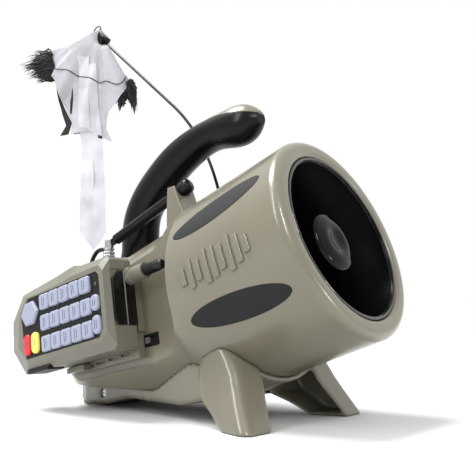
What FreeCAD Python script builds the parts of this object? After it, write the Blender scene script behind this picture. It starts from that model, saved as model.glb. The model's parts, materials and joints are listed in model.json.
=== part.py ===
"""Electronic game caller: a tilted horn speaker in a two-part shell on three feet, with a pistol-grip
handle, a folding aerial, a keypad remote docked on its right side and a motor-driven decoy on a wand.

Millimetres. +X points forward out of the horn, +Z up, -Y to the object's right. The origin is the
mouth of the tripod socket, under the body on the plane of symmetry. Three local frames are used:
the barrel frame (+X along the horn axis), the remote frame (+X along the remote, +Y into the body)
and the hatch frame, which is the remote frame's mirror image on the left side.
"""
import FreeCAD, Part
import math
import os
import Sketcher
from FreeCAD import Placement, Rotation, Vector

doc = FreeCAD.newDocument("game_caller")
sheet = doc.addObject("Spreadsheet::Sheet", "dims")

DIMENSIONS = {
    # attitude and origin
    "barrel_pitch": 19.15, "mouth_height": 146.5, "socket_back": 150.0, "socket_height": 12.0,
    # shell
    "mouth_radius": 70.0, "barrel_radius": 85.2, "barrel_length": 118.0, "rear_radius": 77.0,
    "shoulder_end": 152.0, "tail_start": 240.0, "tail_end": 330.0, "wall": 3.0, "lip_depth": 4.0,
    "lip_round": 9.0, "belly_height": 22.0,
    # horn and driver
    "bell_throat": 36.0, "bell_depth": 98.0, "bell_wall": 2.5, "bullet_radius": 26.0,
    "bullet_front": 9.0, "bullet_back": 66.0, "throat_radius": 14.0, "magnet_radius": 42.0,
    "magnet_back": 140.0, "magnet_front": 112.0,
    # oval inlays
    "inlay_length": 92.5, "inlay_width": 22.4, "inlay_middle": 63.6, "inlay_high": 29.3,
    "inlay_low": 26.7, "inlay_tilt": 5.8, "inlay_depth": 1.4, "inlay_proud": 0.3,
    # side recesses
    "recess_floor": 62.0, "recess_front": 110.0, "recess_back": 140.0, "recess_bottom": 52.0,
    "recess_flare": 3.0, "recess_round": 40.0,
    # remote
    "remote_pitch": 11.1, "remote_back": 225.2, "remote_side": 104.0, "remote_height": 84.2,
    "case_split": 20.0, "case_depth": 34.0, "case_bevel": 7.0, "case_wall": 2.2,
    "key_pitch": 14.9, "key_width": 13.9, "key_tall": 14.2, "key_proud": 2.2, "key_root": 3.4,
    "key_travel": 1.0, "key_gap": 0.3, "plate_front": 0.4, "plate_thick": 1.6, "board_thick": 1.6,
    "key_round": 1.6,
    # aerial
    "aerial_radius": 5.2, "aerial_tip_radius": 7.2, "aerial_length": 106.0, "aerial_tip_length": 16.0,
    "post_radius": 4.4, "pin_radius": 1.5, "pin_clearance": 0.05, "tab_width": 3.6,
    # wand and decoy
    "wand_radius": 1.6, "hub_radius": 6.0, "hub_side": 42.0, "wand_bend": 250.0,
    # stand and base
    "stand_front": 92.0, "stand_back": 128.0, "stand_ring": 89.5, "stand_wall": 3.0,
    "leg_round": 8.0, "foot_width": 56.0,
    # tripod socket: 1/4 inch camera thread
    "socket_radius": 3.175, "socket_outer": 6.5, "socket_length": 10.0, "socket_fit": 0.03,
    # screws
    "screw_radius": 3.4, "screw_head": 2.0,
}
for row, (alias, number) in enumerate(DIMENSIONS.items(), start=1):
    sheet.set(f"A{row}", alias)
    sheet.set(f"B{row}", str(number))
    sheet.setAlias(f"B{row}", alias)
doc.recompute()

nodes = []


def dim(alias):
    """A driving dimension, read from the sheet."""
    return float(sheet.get(alias))


PITCH = math.radians(dim("barrel_pitch"))
ORIGIN = Vector(-dim("socket_back"), 0, dim("socket_height"))
BARREL = Placement(Vector(0, 0, dim("mouth_height")) - ORIGIN, Rotation(Vector(0, 1, 0), -dim("barrel_pitch")))
REMOTE = Placement(
    Vector(-dim("remote_back"), -dim("remote_side"), dim("remote_height")) - ORIGIN,
    Rotation(Vector(0, 1, 0), -dim("remote_pitch")),
)
GROUND = Placement(Vector(0, 0, 0) - ORIGIN, Rotation())


def keep(obj, label, place):
    """Name a finished sub-part and put it in its place."""
    obj.Label = label
    obj.Placement = place
    nodes.append(obj)
    return obj


def bind(obj, **sizes):
    """Bind an object's properties to the sheet."""
    for name, expression in sizes.items():
        obj.setExpression(name, expression)
    return obj


# ---------------------------------------------------------------- PartDesign helpers

def origin_plane(body, role):
    return next(item for item in body.Origin.OriginFeatures if item.Role == role)


def corner_sketch(body, role, corners):
    """A closed outline of straight sides, each corner's coordinates given as two expressions."""
    sketch = body.newObject("Sketcher::SketchObject", body.Name + "_sketch")
    sketch.AttachmentSupport = [(origin_plane(body, role), "")]
    sketch.MapMode = "FlatFace"
    count = len(corners)
    turns = [i * math.tau / count for i in range(count)]
    ring = [Vector(50 * math.cos(turn), 50 * math.sin(turn), 0) for turn in turns]
    for i in range(count):
        sketch.addGeometry(Part.LineSegment(ring[i], ring[(i + 1) % count]))
    for i in range(count):
        sketch.addConstraint(Sketcher.Constraint("Coincident", i, 2, (i + 1) % count, 1))
    for i, pair in enumerate(corners):
        for kind, expression in zip(("DistanceX", "DistanceY"), pair):
            index = sketch.addConstraint(Sketcher.Constraint(kind, -1, 1, i, 1, 10.0))
            name = f"{kind[-1].lower()}_{i}"
            sketch.renameConstraint(index, name)
            sketch.setExpression(f"Constraints.{name}", expression)
    return sketch


def revolved(label, place, corners):
    """A body of revolution about its own X axis; corners are (along, radius) expressions."""
    body = doc.addObject("PartDesign::Body", label)
    sketch = corner_sketch(body, "XY_Plane", corners)
    turn = body.newObject("PartDesign::Revolution", label + "_turn")
    turn.Profile = sketch
    turn.ReferenceAxis = (sketch, ["H_Axis"])
    turn.Angle = 360
    return keep(body, label, place)


def padded(label, place, role, corners, length):
    """A body padded from one of its origin planes."""
    body = doc.addObject("PartDesign::Body", label)
    sketch = corner_sketch(body, role, corners)
    pad = body.newObject("PartDesign::Pad", label + "_pad")
    pad.Profile = sketch
    bind(pad, Length=length)
    return keep(body, label, place)


# ---------------------------------------------------------------- shape helpers

def feature(label, shape, place):
    """A sub-part whose shape is worked out here from the sheet's sizes."""
    obj = doc.addObject("Part::Feature", label)
    obj.Shape = shape
    return keep(obj, label, place.multiply(shape.Placement))


def polygon(points):
    return Part.makePolygon(points + points[:1])


def prism(points, vector):
    return Part.Face(polygon(points)).extrude(vector)


def loft(wires, ruled=False):
    return Part.makeLoft(wires, True, ruled)


def box(low, high):
    size = high - low
    return Part.makeBox(size.x, size.y, size.z, low)


def rounded_rectangle(low, high, radius, at, plane="XY"):
    """A rectangle with rounded corners, as a wire, in XY at height z or in XZ at depth y."""
    (x0, y0), (x1, y1) = low, high

    def point(x, y):
        return Vector(x, y, at) if plane == "XY" else Vector(x, at, y)

    edges = []
    left, right, low_side, high_side = x0 + radius, x1 - radius, y0 + radius, y1 - radius
    centres = [(right, high_side), (left, high_side), (left, low_side), (right, low_side)]
    arcs = []
    for i, (cx, cy) in enumerate(centres):
        ends = [math.radians(90 * i + turn) for turn in (0, 45, 90)]
        arcs.append([point(cx + radius * math.cos(a), cy + radius * math.sin(a)) for a in ends])
    for i, arc in enumerate(arcs):
        edges.append(Part.Arc(*arc).toShape())
        edges.append(Part.LineSegment(arc[2], arcs[(i + 1) % 4][0]).toShape())
    return Part.Wire(edges)


def in_frame(shape, source, target):
    """The same shape, written in one local frame, rewritten in another."""
    moved = shape.copy()
    moved.Placement = target.inverse().multiply(source).multiply(shape.Placement)
    return moved


# ---------------------------------------------------------------- shell

def shell_profile(inset):
    """Half outline of the shell in the barrel frame, moved in by a wall thickness."""
    barrel = dim("barrel_radius") - inset
    rear = dim("rear_radius") - inset
    back = -dim("barrel_length")
    shoulder = -dim("shoulder_end")
    tail = -dim("tail_start")
    tip = -dim("tail_end") + inset
    lip = dim("lip_round")
    third = (back - shoulder) / 2
    bezier = Part.BezierCurve()
    bezier.setPoles([
        Vector(back, barrel, 0), Vector(back - third, barrel, 0),
        Vector(shoulder + third, rear, 0), Vector(shoulder, rear, 0),
    ])
    bowl = Part.Ellipse(Vector(tail, 0, 0), tail - tip, rear)
    edges = []
    if inset == 0:
        inner = dim("mouth_radius")
        start = Vector(-dim("lip_depth"), inner, 0)
        nose = Vector(0, inner + 4, 0)
        brow = Vector(0, barrel - lip + 2, 0)
        flank = Vector(-lip, barrel, 0)
        edges.append(Part.Arc(start, Vector(-1.2, inner + 1.2, 0), nose).toShape())
        edges.append(Part.LineSegment(nose, brow).toShape())
        edges.append(Part.Arc(brow, Vector(-2.4, barrel - 2.1, 0), flank).toShape())
        edges.append(Part.LineSegment(flank, Vector(back, barrel, 0)).toShape())
    else:
        start = Vector(-dim("lip_depth") - 0.3, barrel, 0)
        edges.append(Part.LineSegment(start, Vector(back, barrel, 0)).toShape())
    edges.append(bezier.toShape())
    edges.append(Part.LineSegment(Vector(shoulder, rear, 0), Vector(tail, rear, 0)).toShape())
    edges.append(Part.Arc(bowl, math.pi / 2, math.pi).toShape())
    edges.append(Part.LineSegment(Vector(tip, 0, 0), Vector(start.x, 0, 0)).toShape())
    edges.append(Part.LineSegment(Vector(start.x, 0, 0), start).toShape())
    return Part.Wire(edges)


def turned(wire):
    return Part.Face(wire).revolve(Vector(0, 0, 0), Vector(1, 0, 0), 360)


def recess(side, inset):
    """The flared pocket cut in a side of the rear shell, in the remote frame or its mirror image."""
    floor = dim("remote_side") - dim("recess_floor") + inset
    reach = 60.0
    flare = dim("recess_flare") / 20.0
    wires = []
    for depth in (floor, floor - reach):
        grow = (floor - depth) * flare
        low = (-dim("recess_back"), -dim("recess_bottom") - grow - inset)
        high = (dim("recess_front") + grow + inset, 130.0)
        wires.append(rounded_rectangle(low, high, dim("recess_round"), depth, "XZ"))
    pocket = loft(wires, ruled=True)
    pocket = in_frame(pocket, REMOTE, BARREL)
    if side > 0:
        pocket = pocket.mirror(Vector(0, 0, 0), Vector(0, 1, 0))
    return pocket


def floor_block(height):
    """Everything lower than a height above the ground, in the barrel frame."""
    block = box(Vector(-500, -200, -200), Vector(200, 200, height))
    return in_frame(block, GROUND, BARREL)


def inlay_prism(side, up):
    """A long oval standing out along a radius of the barrel; the ovals spread apart forward."""
    oval = Part.Ellipse(Vector(0, 0, 0), dim("inlay_length") / 2, dim("inlay_width") / 2)
    solid = Part.Face(Part.Wire([oval.toShape()])).extrude(Vector(0, 0, 20))
    solid.rotate(Vector(0, 0, 0), Vector(0, 0, 1), -side * up * dim("inlay_tilt"))
    angle = math.radians(dim("inlay_high") if up > 0 else -dim("inlay_low"))
    out = Vector(0, side * math.cos(angle), math.sin(angle))
    place = Rotation(Vector(1, 0, 0), out.cross(Vector(1, 0, 0)), out, "ZXY")
    base = Vector(-dim("inlay_middle"), 0, 0) + out * (dim("barrel_radius") - 12)
    moved = solid.copy()
    moved.Placement = Placement(base, place).multiply(solid.Placement)
    return moved


def tube(inner, outer, front, back):
    """A ring round the barrel axis between two stations."""
    length = front - back
    solid = Part.makeCylinder(outer, length, Vector(back, 0, 0), Vector(1, 0, 0))
    if inner > 0:
        solid = solid.cut(Part.makeCylinder(inner, length, Vector(back, 0, 0), Vector(1, 0, 0)))
    return solid


# the decoy hub stands on the left shoulder and leans back a little
HUB_FOOT = Vector(-160.5, dim("hub_side"), 160.0)
HUB_AXIS = Vector(-0.15, 0, 0.989)
HUB_PLACE = Placement(HUB_FOOT - ORIGIN, Rotation(Vector(1, 0, 0), HUB_AXIS))

outer_shell = turned(shell_profile(0)).cut(recess(-1, 0)).cut(recess(1, 0))
outer_shell = outer_shell.cut(floor_block(dim("belly_height")))
cavity = turned(shell_profile(dim("wall"))).cut(recess(-1, dim("wall"))).cut(recess(1, dim("wall")))
cavity = cavity.cut(floor_block(dim("belly_height") + dim("wall")))
mouth_hole = tube(0, dim("mouth_radius"), 5, -10)
shell = outer_shell.cut(cavity).cut(mouth_hole)

pocket_ring = tube(
    dim("barrel_radius") - dim("inlay_depth") - 0.1, dim("barrel_radius") + 5, 0, -dim("barrel_length")
)
inlay_ring = tube(
    dim("barrel_radius") - dim("inlay_depth"), dim("barrel_radius") + dim("inlay_proud"), 0, -dim("barrel_length")
)
inlays = []
for side in (-1, 1):
    for up in (-1, 1):
        oval = inlay_prism(side, up)
        shell = shell.cut(oval.common(pocket_ring))
        inlays.append(oval.common(inlay_ring))

# openings in the shell: switch slot and jack hole on the right, battery hatch on the left, decoy port on top
SWITCH = Vector(66, 0, -32.5)
JACK = Vector(47, 0, -32)
HATCH_MIDDLE = 24
HATCH_LOW = Vector(HATCH_MIDDLE - 56, 0, -27)
HATCH_HIGH = Vector(HATCH_MIDDLE + 56, 0, 8)
HINGE_DEPTH = 39.6
HINGE_HEIGHT = -36.4
HINGE_ENDS = (HATCH_MIDDLE - 68, HATCH_MIDDLE + 68)


def hatch_to_barrel(shape):
    """A shape written for the right side in the remote frame, mirrored to the left in the barrel frame."""
    return in_frame(shape, REMOTE, BARREL).mirror(Vector(0, 0, 0), Vector(0, 1, 0))


floor_depth = dim("remote_side") - dim("recess_floor")
switch_slot = box(SWITCH + Vector(-8.7, 20, -5.2), SWITCH + Vector(8.7, 60, 5.2))
jack_hole = Part.makeCylinder(2.6, 40, JACK + Vector(0, 20, 0), Vector(0, 1, 0))
hatch_hole = box(HATCH_LOW + Vector(0, 20, 0), HATCH_HIGH + Vector(0, 50, 0))
hinge_bore = Part.makeCylinder(
    dim("pin_radius") + dim("pin_clearance"), 200, Vector(-100, HINGE_DEPTH, HINGE_HEIGHT), Vector(1, 0, 0)
)
hub_hole = Part.makeCylinder(dim("hub_radius") + 1.0, 60, Vector(-20, 0, 0), Vector(1, 0, 0))
shell = shell.cut(in_frame(switch_slot, REMOTE, BARREL)).cut(in_frame(jack_hole, REMOTE, BARREL))
shell = shell.cut(hatch_to_barrel(hatch_hole)).cut(in_frame(hub_hole, HUB_PLACE, BARREL))
for end in HINGE_ENDS:
    lug_low = Vector(end - 3, HINGE_DEPTH - 2.6, HINGE_HEIGHT - 4)
    lug = box(lug_low, Vector(end + 3, floor_depth + 1, HINGE_HEIGHT + 2.6))
    shell = shell.fuse(hatch_to_barrel(lug.cut(hinge_bore)))
for side, label in ((-1, "housing_right"), (1, "housing_left")):
    half = box(Vector(-400, min(0, side * 120), -120), Vector(50, max(0, side * 120), 120))
    feature(label, shell.common(half), BARREL)
feature("oval_inlays", Part.makeCompound(inlays), BARREL)

# ---------------------------------------------------------------- horn and driver

revolved("horn_bell", BARREL, [
    ("-dims.lip_depth - 0.5", "dims.mouth_radius - 1"),
    ("-dims.lip_depth - 0.5", "dims.barrel_radius - dims.wall - 1.2"),
    ("-dims.lip_depth - 3", "dims.barrel_radius - dims.wall - 1.2"),
    ("-dims.lip_depth - 3", "dims.mouth_radius + 1.5"),
    ("-dims.bell_depth * 0.35", "dims.mouth_radius * 0.78 + dims.bell_wall"),
    ("-dims.bell_depth * 0.70", "dims.mouth_radius * 0.60 + dims.bell_wall"),
    ("-dims.bell_depth", "dims.bell_throat + dims.bell_wall"),
    ("-dims.bell_depth", "dims.bell_throat"),
    ("-dims.bell_depth * 0.70", "dims.mouth_radius * 0.60"),
    ("-dims.bell_depth * 0.35", "dims.mouth_radius * 0.78"),
])
revolved("horn_bullet", BARREL, [
    ("-dims.bullet_front", "0"),
    ("-dims.bullet_front - 0.5", "dims.bullet_radius * 0.45"),
    ("-dims.bullet_front - 1.6", "dims.bullet_radius * 0.78"),
    ("-dims.bullet_front - 3.6", "dims.bullet_radius * 0.93"),
    ("-dims.bullet_front - 7", "dims.bullet_radius"),
    ("-dims.bullet_back", "dims.bullet_radius"),
    ("-dims.bullet_back", "dims.bullet_radius - 2"),
    ("-dims.bullet_front - 9", "dims.bullet_radius - 2"),
    ("-dims.bullet_front - 4", "0"),
])
revolved("throat_tube", BARREL, [
    ("-dims.bullet_front - 32", "dims.throat_radius - 2"),
    ("-dims.bullet_front - 32", "dims.throat_radius"),
    ("-dims.bell_depth - 1", "dims.throat_radius + 2"),
    ("-dims.bell_depth - 1", "dims.bell_throat + 4"),
    ("-dims.bell_depth - 4", "dims.bell_throat + 4"),
    ("-dims.bell_depth - 4", "dims.throat_radius - 2"),
])
revolved("driver_diaphragm", BARREL, [
    ("-dims.bell_depth - 4.5", "dims.throat_radius + 8"),
    ("-dims.bell_depth - 4.5", "dims.throat_radius + 14"),
    ("-dims.bell_depth - 8", "dims.throat_radius + 14"),
    ("-dims.bell_depth - 8", "dims.throat_radius + 8"),
    ("-dims.bell_depth - 11", "0"),
    ("-dims.bell_depth - 9.5", "0"),
])
revolved("driver_motor", BARREL, [
    ("-dims.magnet_front", "0"),
    ("-dims.magnet_front", "dims.magnet_radius - 6"),
    ("-dims.magnet_front - 4", "dims.magnet_radius - 6"),
    ("-dims.magnet_front - 4", "dims.magnet_radius"),
    ("-dims.magnet_back + 5", "dims.magnet_radius"),
    ("-dims.magnet_back + 5", "dims.magnet_radius - 6"),
    ("-dims.magnet_back", "dims.magnet_radius - 6"),
    ("-dims.magnet_back", "0"),
])
revolved("mouth_gasket", BARREL, [
    ("-1.2", "dims.mouth_radius - 0.2"),
    ("-dims.lip_depth - 0.4", "dims.mouth_radius - 0.2"),
    ("-dims.lip_depth - 0.4", "dims.mouth_radius - 3.4"),
    ("-2.4", "dims.mouth_radius - 3.2"),
    ("-1.2", "dims.mouth_radius - 1.8"),
])

# ---------------------------------------------------------------- front stand

def rounded_corners(corners, radii, height):
    """A closed outline at a height, with an arc at each corner."""
    ends = []
    for i, corner in enumerate(corners):
        back_way = (corners[i - 1] - corner).normalize()
        on_way = (corners[(i + 1) % len(corners)] - corner).normalize()
        half_angle = back_way.getAngle(on_way) / 2
        bisector = (back_way + on_way).normalize()
        first = corner + back_way * (radii[i] / math.tan(half_angle))
        second = corner + on_way * (radii[i] / math.tan(half_angle))
        middle = corner + bisector * (radii[i] / math.sin(half_angle) - radii[i])
        ends.append([point + Vector(0, 0, height) for point in (first, middle, second)])
    edges = []
    for i, arc in enumerate(ends):
        edges.append(Part.Arc(*arc).toShape())
        edges.append(Part.LineSegment(arc[2], ends[(i + 1) % len(ends)][0]).toShape())
    return Part.Wire(edges)


def leg_section(side, row, grow, inward):
    """One section of a leg, parallel to the barrel axis, with its inner side moved towards the middle."""
    (front, back), (inner_front, inner_back), (outer_front, outer_back), height = row
    corners = [
        Vector(-back + grow, side * (inner_back - inward), 0),
        Vector(-front - grow, side * (inner_front - inward), 0),
        Vector(-front - grow, side * (outer_front - grow), 0),
        Vector(-back + grow, side * (outer_back - grow), 0),
    ]
    outside = dim("leg_round") - grow
    return rounded_corners(corners, [1.5, 1.5, outside, outside], height)


# each row: front and back stations behind the mouth, inner and outer reach from the middle plane at the
# front and at the back, height from the barrel axis
LEG_SECTIONS = [
    ((99, 121), (38, 30), (62, 60), -50.0),
    ((96, 127), (37, 24), (66, 63), -58.0),
    ((92, 131), (37, 18), (67, 65), -68.0),
    ((89, 131), (37, 14), (69, 67), -80.0),
    ((88, 130), (38, 18), (72, 69.5), -90.0),
    ((86, 121), (43, 32), (77, 72), -102.0),
    ((82.5, 111), (50, 46), (83, 76), -118.0),
    ((78, 100), (57, 62), (90, 82), -138.0),
]


def legs(grow, inward):
    pair = []
    for side in (-1, 1):
        wires = [leg_section(side, row, grow, inward) for row in LEG_SECTIONS]
        pair.append(loft(wires, ruled=True))
    return pair


front = -dim("stand_front")
back = -dim("stand_back")
thick = dim("stand_wall")
belly = box(Vector(back - 10, -95, -120), Vector(front + 10, 95, -70))
saddle = tube(0, dim("stand_ring"), front, back).common(belly)
stand = legs(0, 0)[0].fuse(legs(0, 0)[1])
for hollow in legs(thick, 14):
    stand = stand.cut(hollow.cut(floor_block(thick)))
stand = stand.fuse(saddle).cut(tube(0, dim("barrel_radius") + 0.1, 0, -dim("barrel_length")))
stand = stand.cut(turned(shell_profile(0))).cut(floor_block(0))
inlay_room = tube(0, dim("barrel_radius") + dim("inlay_proud") + 0.2, 0, -dim("barrel_length"))
for side in (-1, 1):
    stand = stand.cut(inlay_prism(side, -1).common(inlay_room))
stand = max(stand.Solids, key=lambda solid: solid.Volume)
feature("front_stand", stand, BARREL)

# ---------------------------------------------------------------- rear base and tripod socket

KEEL = [
    (-298, 0), (-262, 0), (-240, 5), (-215, 10), (-205, 12), (-130, 12), (-100, 18), (-90, 18), (-90, 62),
    (-130, 62), (-150, 46), (-200, 32), (-290, 24), (-298, 21),
]
BASE_PLAN = [
    (-298, 14), (-294, 26), (-285, 35), (-272, 40), (-255, 41.5), (-205, 42), (-165, 46), (-138, 51), (-90, 59),
]
reach = BASE_PLAN[-1][1]
base = prism([Vector(x, -reach, z) for x, z in KEEL], Vector(0, 2 * reach, 0))
plan_points = [Vector(x, y, 0) for x, y in BASE_PLAN] + [Vector(x, -y, 0) for x, y in reversed(BASE_PLAN)]
base = base.common(prism(plan_points, Vector(0, 0, 80)))
foot_half = dim("foot_width") / 2
for side in (-1, 1):
    near, far = sorted((side * foot_half, side * 60))
    base = base.cut(box(Vector(-320, near, -5), Vector(-238, far, 5)))
base = base.cut(in_frame(outer_shell, BARREL, GROUND))
stand_gap = box(Vector(-LEG_SECTIONS[3][0][1] - 0.4, -200, -200), Vector(200, 200, 200))
base = base.cut(in_frame(stand_gap, BARREL, GROUND))
socket_hole = Part.makeCylinder(
    dim("socket_outer") + dim("socket_fit"), 40, Vector(-dim("socket_back"), 0, 0), Vector(0, 0, 1)
)
screw_spots = [Vector(-286, 0, 0), Vector(-200, -25, 12), Vector(-200, 25, 12)]
head_depth = 4.0
for spot in screw_spots:
    bored = Part.makeCylinder(dim("screw_radius") + 0.2, head_depth + 6, spot - Vector(0, 0, 6), Vector(0, 0, 1))
    base = base.cut(bored)
SIDE_SCREW = Vector(-244, 41.5, 14)
for side in (-1, 1):
    spot = Vector(SIDE_SCREW.x, side * (SIDE_SCREW.y + 3), SIDE_SCREW.z)
    base = base.cut(Part.makeCylinder(dim("screw_radius") + 0.2, head_depth + 3, spot, Vector(0, -side, 0)))
base = base.cut(socket_hole)
base = max(base.Solids, key=lambda solid: solid.Volume)
feature("rear_base", base, GROUND)
revolved("tripod_insert", Placement(Vector(0, 0, 0), Rotation(Vector(0, 1, 0), -90)), [
    ("0", "dims.socket_radius"),
    ("0", "dims.socket_outer"),
    ("dims.socket_length", "dims.socket_outer"),
    ("dims.socket_length", "dims.socket_radius"),
])

# ---------------------------------------------------------------- handle

HANDLE_LINE = [
    (-244, 146, 20.5, 18.5), (-243, 160, 20.2, 18.2), (-240, 190, 20.0, 17.6), (-229, 208, 20.0, 17.2),
    (-211, 225, 20.0, 17.0), (-192, 239, 19.4, 16.8), (-174, 248.5, 18.2, 16.4), (-158, 254.5, 16.8, 16.0),
    (-139, 258.5, 16.2, 16.0), (-120, 259.5, 18.6, 16.8), (-105, 260.0, 19.2, 16.6), (-92.5, 261.2, 14.5, 13.0),
    (-84, 262.0, 6.5, 6.0),
]


def handle_section(index):
    """An ellipse square to the handle's centre line."""
    here = HANDLE_LINE[index]
    before = HANDLE_LINE[max(index - 1, 0)]
    after = HANDLE_LINE[min(index + 1, len(HANDLE_LINE) - 1)]
    along = Vector(after[0] - before[0], 0, after[1] - before[1]).normalize()
    across = Vector(0, 1, 0)
    up = along.cross(across)
    centre = Vector(here[0], 0, here[1])
    ring = Part.Ellipse(Vector(0, 0, 0), here[2], here[3])
    wire = Part.Wire([ring.toShape()])
    wire.Placement = Placement(centre, Rotation(up, across, along, "ZXY"))
    return wire


handle = loft([handle_section(i) for i in range(len(HANDLE_LINE))])
handle = handle.cut(in_frame(turned(shell_profile(0)), BARREL, GROUND))
handle = max(handle.Solids, key=lambda solid: solid.Volume)
cap_line = [Vector(-152, -40, 273.5), Vector(-70, -40, 264), Vector(-70, -40, 320), Vector(-152, -40, 320)]
cap_block = prism(cap_line, Vector(0, 80, 0))
feature("handle_grip", handle.cut(cap_block), GROUND)
feature("handle_cap", handle.common(cap_block), GROUND)

# ---------------------------------------------------------------- folding aerial and its fork

AERIAL_FOOT = Vector(-241.9, -38.0, 158.6)
AERIAL_TIP = Vector(-150.9, -18.0, 209.7)
AERIAL_ALONG = (AERIAL_TIP - AERIAL_FOOT).normalize()
AERIAL_OUT = Vector(0, -0.25, 0.968)
AERIAL_HINGE = AERIAL_ALONG.cross(AERIAL_OUT).normalize()
AERIAL_PLACE = Placement(
    AERIAL_FOOT - ORIGIN, Rotation(AERIAL_ALONG, -AERIAL_HINGE, AERIAL_ALONG.cross(-AERIAL_HINGE), "XYZ")
)
fork_side = [
    Vector(-172, -31, 150), Vector(-172.5, -31, 205), Vector(-163, -31, 206), Vector(-156, -31, 190),
    Vector(-146, -31, 172), Vector(-146, -31, 150),
]
fork = prism(fork_side, Vector(0, 26, 0))
groove = Part.makeCylinder(dim("aerial_tip_radius") + 0.6, 160, AERIAL_FOOT - AERIAL_ALONG * 20, AERIAL_ALONG)
fork = fork.cut(groove)
for step in range(1, 5):
    fork = fork.cut(groove.translated(Vector(0, 0, step * 6.0)))
fork = fork.cut(in_frame(turned(shell_profile(0)), BARREL, GROUND))
fork = max(fork.Solids, key=lambda solid: solid.Volume)
feature("aerial_fork", fork, GROUND)

post_foot = Vector(AERIAL_FOOT.x - 3, AERIAL_FOOT.y - 1, 128.0)
post = Part.makeCylinder(dim("post_radius"), AERIAL_FOOT.z + 2.6 - 128.0, post_foot, Vector(0, 0, 1))
post = post.cut(in_frame(outer_shell, BARREL, GROUND))
post = max(post.Solids, key=lambda solid: solid.Volume)
slot = Part.makeBox(40, dim("tab_width") + 0.6, 14, Vector(-20, -dim("tab_width") / 2 - 0.3, -6))
pin = Part.makeCylinder(dim("pin_radius"), 8.6, Vector(-2, -4.3, 0), Vector(0, 1, 0))
aerial_to_ground = GROUND.inverse().multiply(AERIAL_PLACE)
slot.Placement = aerial_to_ground
pin.Placement = aerial_to_ground
post = post.cut(slot).fuse(pin)
feature("aerial_post", post, GROUND)

whip = Part.makeCylinder(dim("aerial_radius"), dim("aerial_length") - 22, Vector(6, 0, 0), Vector(1, 0, 0))
tip_start = dim("aerial_length") - dim("aerial_tip_length")
tip_radius = dim("aerial_tip_radius")
bulb = Part.makeCylinder(tip_radius, dim("aerial_tip_length") - 2, Vector(tip_start, 0, 0), Vector(1, 0, 0))
bulb = bulb.makeFillet(4.5, [edge for edge in bulb.Edges if edge.Curve.TypeId == "Part::GeomCircle"])
tab = Part.makeBox(14, dim("tab_width"), 6.4, Vector(-2, -dim("tab_width") / 2, -3.2))
tab = tab.fuse(Part.makeCylinder(3.2, dim("tab_width"), Vector(-2, -dim("tab_width") / 2, 0), Vector(0, 1, 0)))
bore = Part.makeCylinder(dim("pin_radius") + dim("pin_clearance"), 20, Vector(-2, -10, 0), Vector(0, 1, 0))
whip = whip.fuse([bulb, tab]).cut(bore)
feature("aerial_whip", whip, AERIAL_PLACE)

# ---------------------------------------------------------------- aerial lead

LEAD_ROUTE = [
    Vector(-249.2, -39.0, 152.0), Vector(-259.0, -39.6, 154.0), Vector(-268.0, -40.2, 147.0),
    Vector(-272.0, -40.6, 135.0), Vector(-268.0, -41.0, 121.0),
]
LEAD_RADIUS = 2.1


def rounded_path(points):
    """Straight runs joined by tangent arcs as large as the shorter run beside each corner allows."""
    edges = []
    last = points[0]
    radii = []
    for before, here, after in zip(points, points[1:], points[2:]):
        back_way = (before - here).normalize()
        on_way = (after - here).normalize()
        turn = math.pi - back_way.getAngle(on_way)
        reach = 0.45 * min((before - here).Length, (after - here).Length)
        radius = reach / math.tan(turn / 2)
        radii.append(round(radius, 1))
        first = here + back_way * reach
        second = here + on_way * reach
        bisector = (back_way + on_way).normalize()
        centre = here + bisector * math.hypot(radius, reach)
        middle = centre - bisector * radius
        edges.append(Part.LineSegment(last, first).toShape())
        edges.append(Part.Arc(first, middle, second).toShape())
        last = second
    edges.append(Part.LineSegment(last, points[-1]).toShape())
    return Part.Wire(edges), radii


def swept_rod(wire, radius):
    """A round rod along a path that starts at the wire's first point."""
    start = wire.Edges[0]
    way = start.tangentAt(start.FirstParameter)
    disc = Part.Wire([Part.makeCircle(radius, start.valueAt(start.FirstParameter), way)])
    return wire.makePipeShell([disc], True, False)


lead_path, lead_radii = rounded_path(LEAD_ROUTE)
lead = swept_rod(lead_path, LEAD_RADIUS)
print("lead radii", lead_radii, "length", round(lead_path.Length, 1))
lead_section = math.pi * LEAD_RADIUS**2
print("lead volume", round(lead.Volume, 1), "section times length", round(lead_section * lead_path.Length, 1))
lead = lead.cut(in_frame(outer_shell, BARREL, GROUND)).cut(post)
lead = max(lead.Solids, key=lambda solid: solid.Volume)
feature("aerial_lead", lead, GROUND)

# ---------------------------------------------------------------- remote

CASE_OUTLINE = [
    (-70, -39.5), (60, -39), (63, -36), (63, 36), (60, 39), (24, 40.5), (15, 43), (8, 42.5), (-12, 40),
    (-68, 35.5), (-88, 13.5), (-90, -14.5),
]
FACE_OUTLINE = [
    (-55, -31.5), (52, -31), (60, -24), (61, 26), (56, 32), (18, 32), (14, 31.5), (6, 30), (-12, 29.5),
    (-53, 29), (-65, 16), (-70, -13.5),
]
PANEL_OUTLINE = [
    (-57, -27.4), (50, -27.4), (55.6, -21), (55.6, 24), (52, 27.6), (-50, 27.6), (-63, 16), (-61.5, 2),
    (-60.5, -12),
]


def outline_wire(pairs, depth, shrink=0.0):
    """An outline in the remote's plane at a depth, drawn in towards the middle by a distance."""
    points = []
    for x, z in pairs:
        inner_x = math.copysign(max(abs(x) - shrink, 0), x)
        inner_z = math.copysign(max(abs(z) - shrink, 0), z)
        points.append(Vector(inner_x, depth, inner_z))
    return polygon(points)


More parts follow.
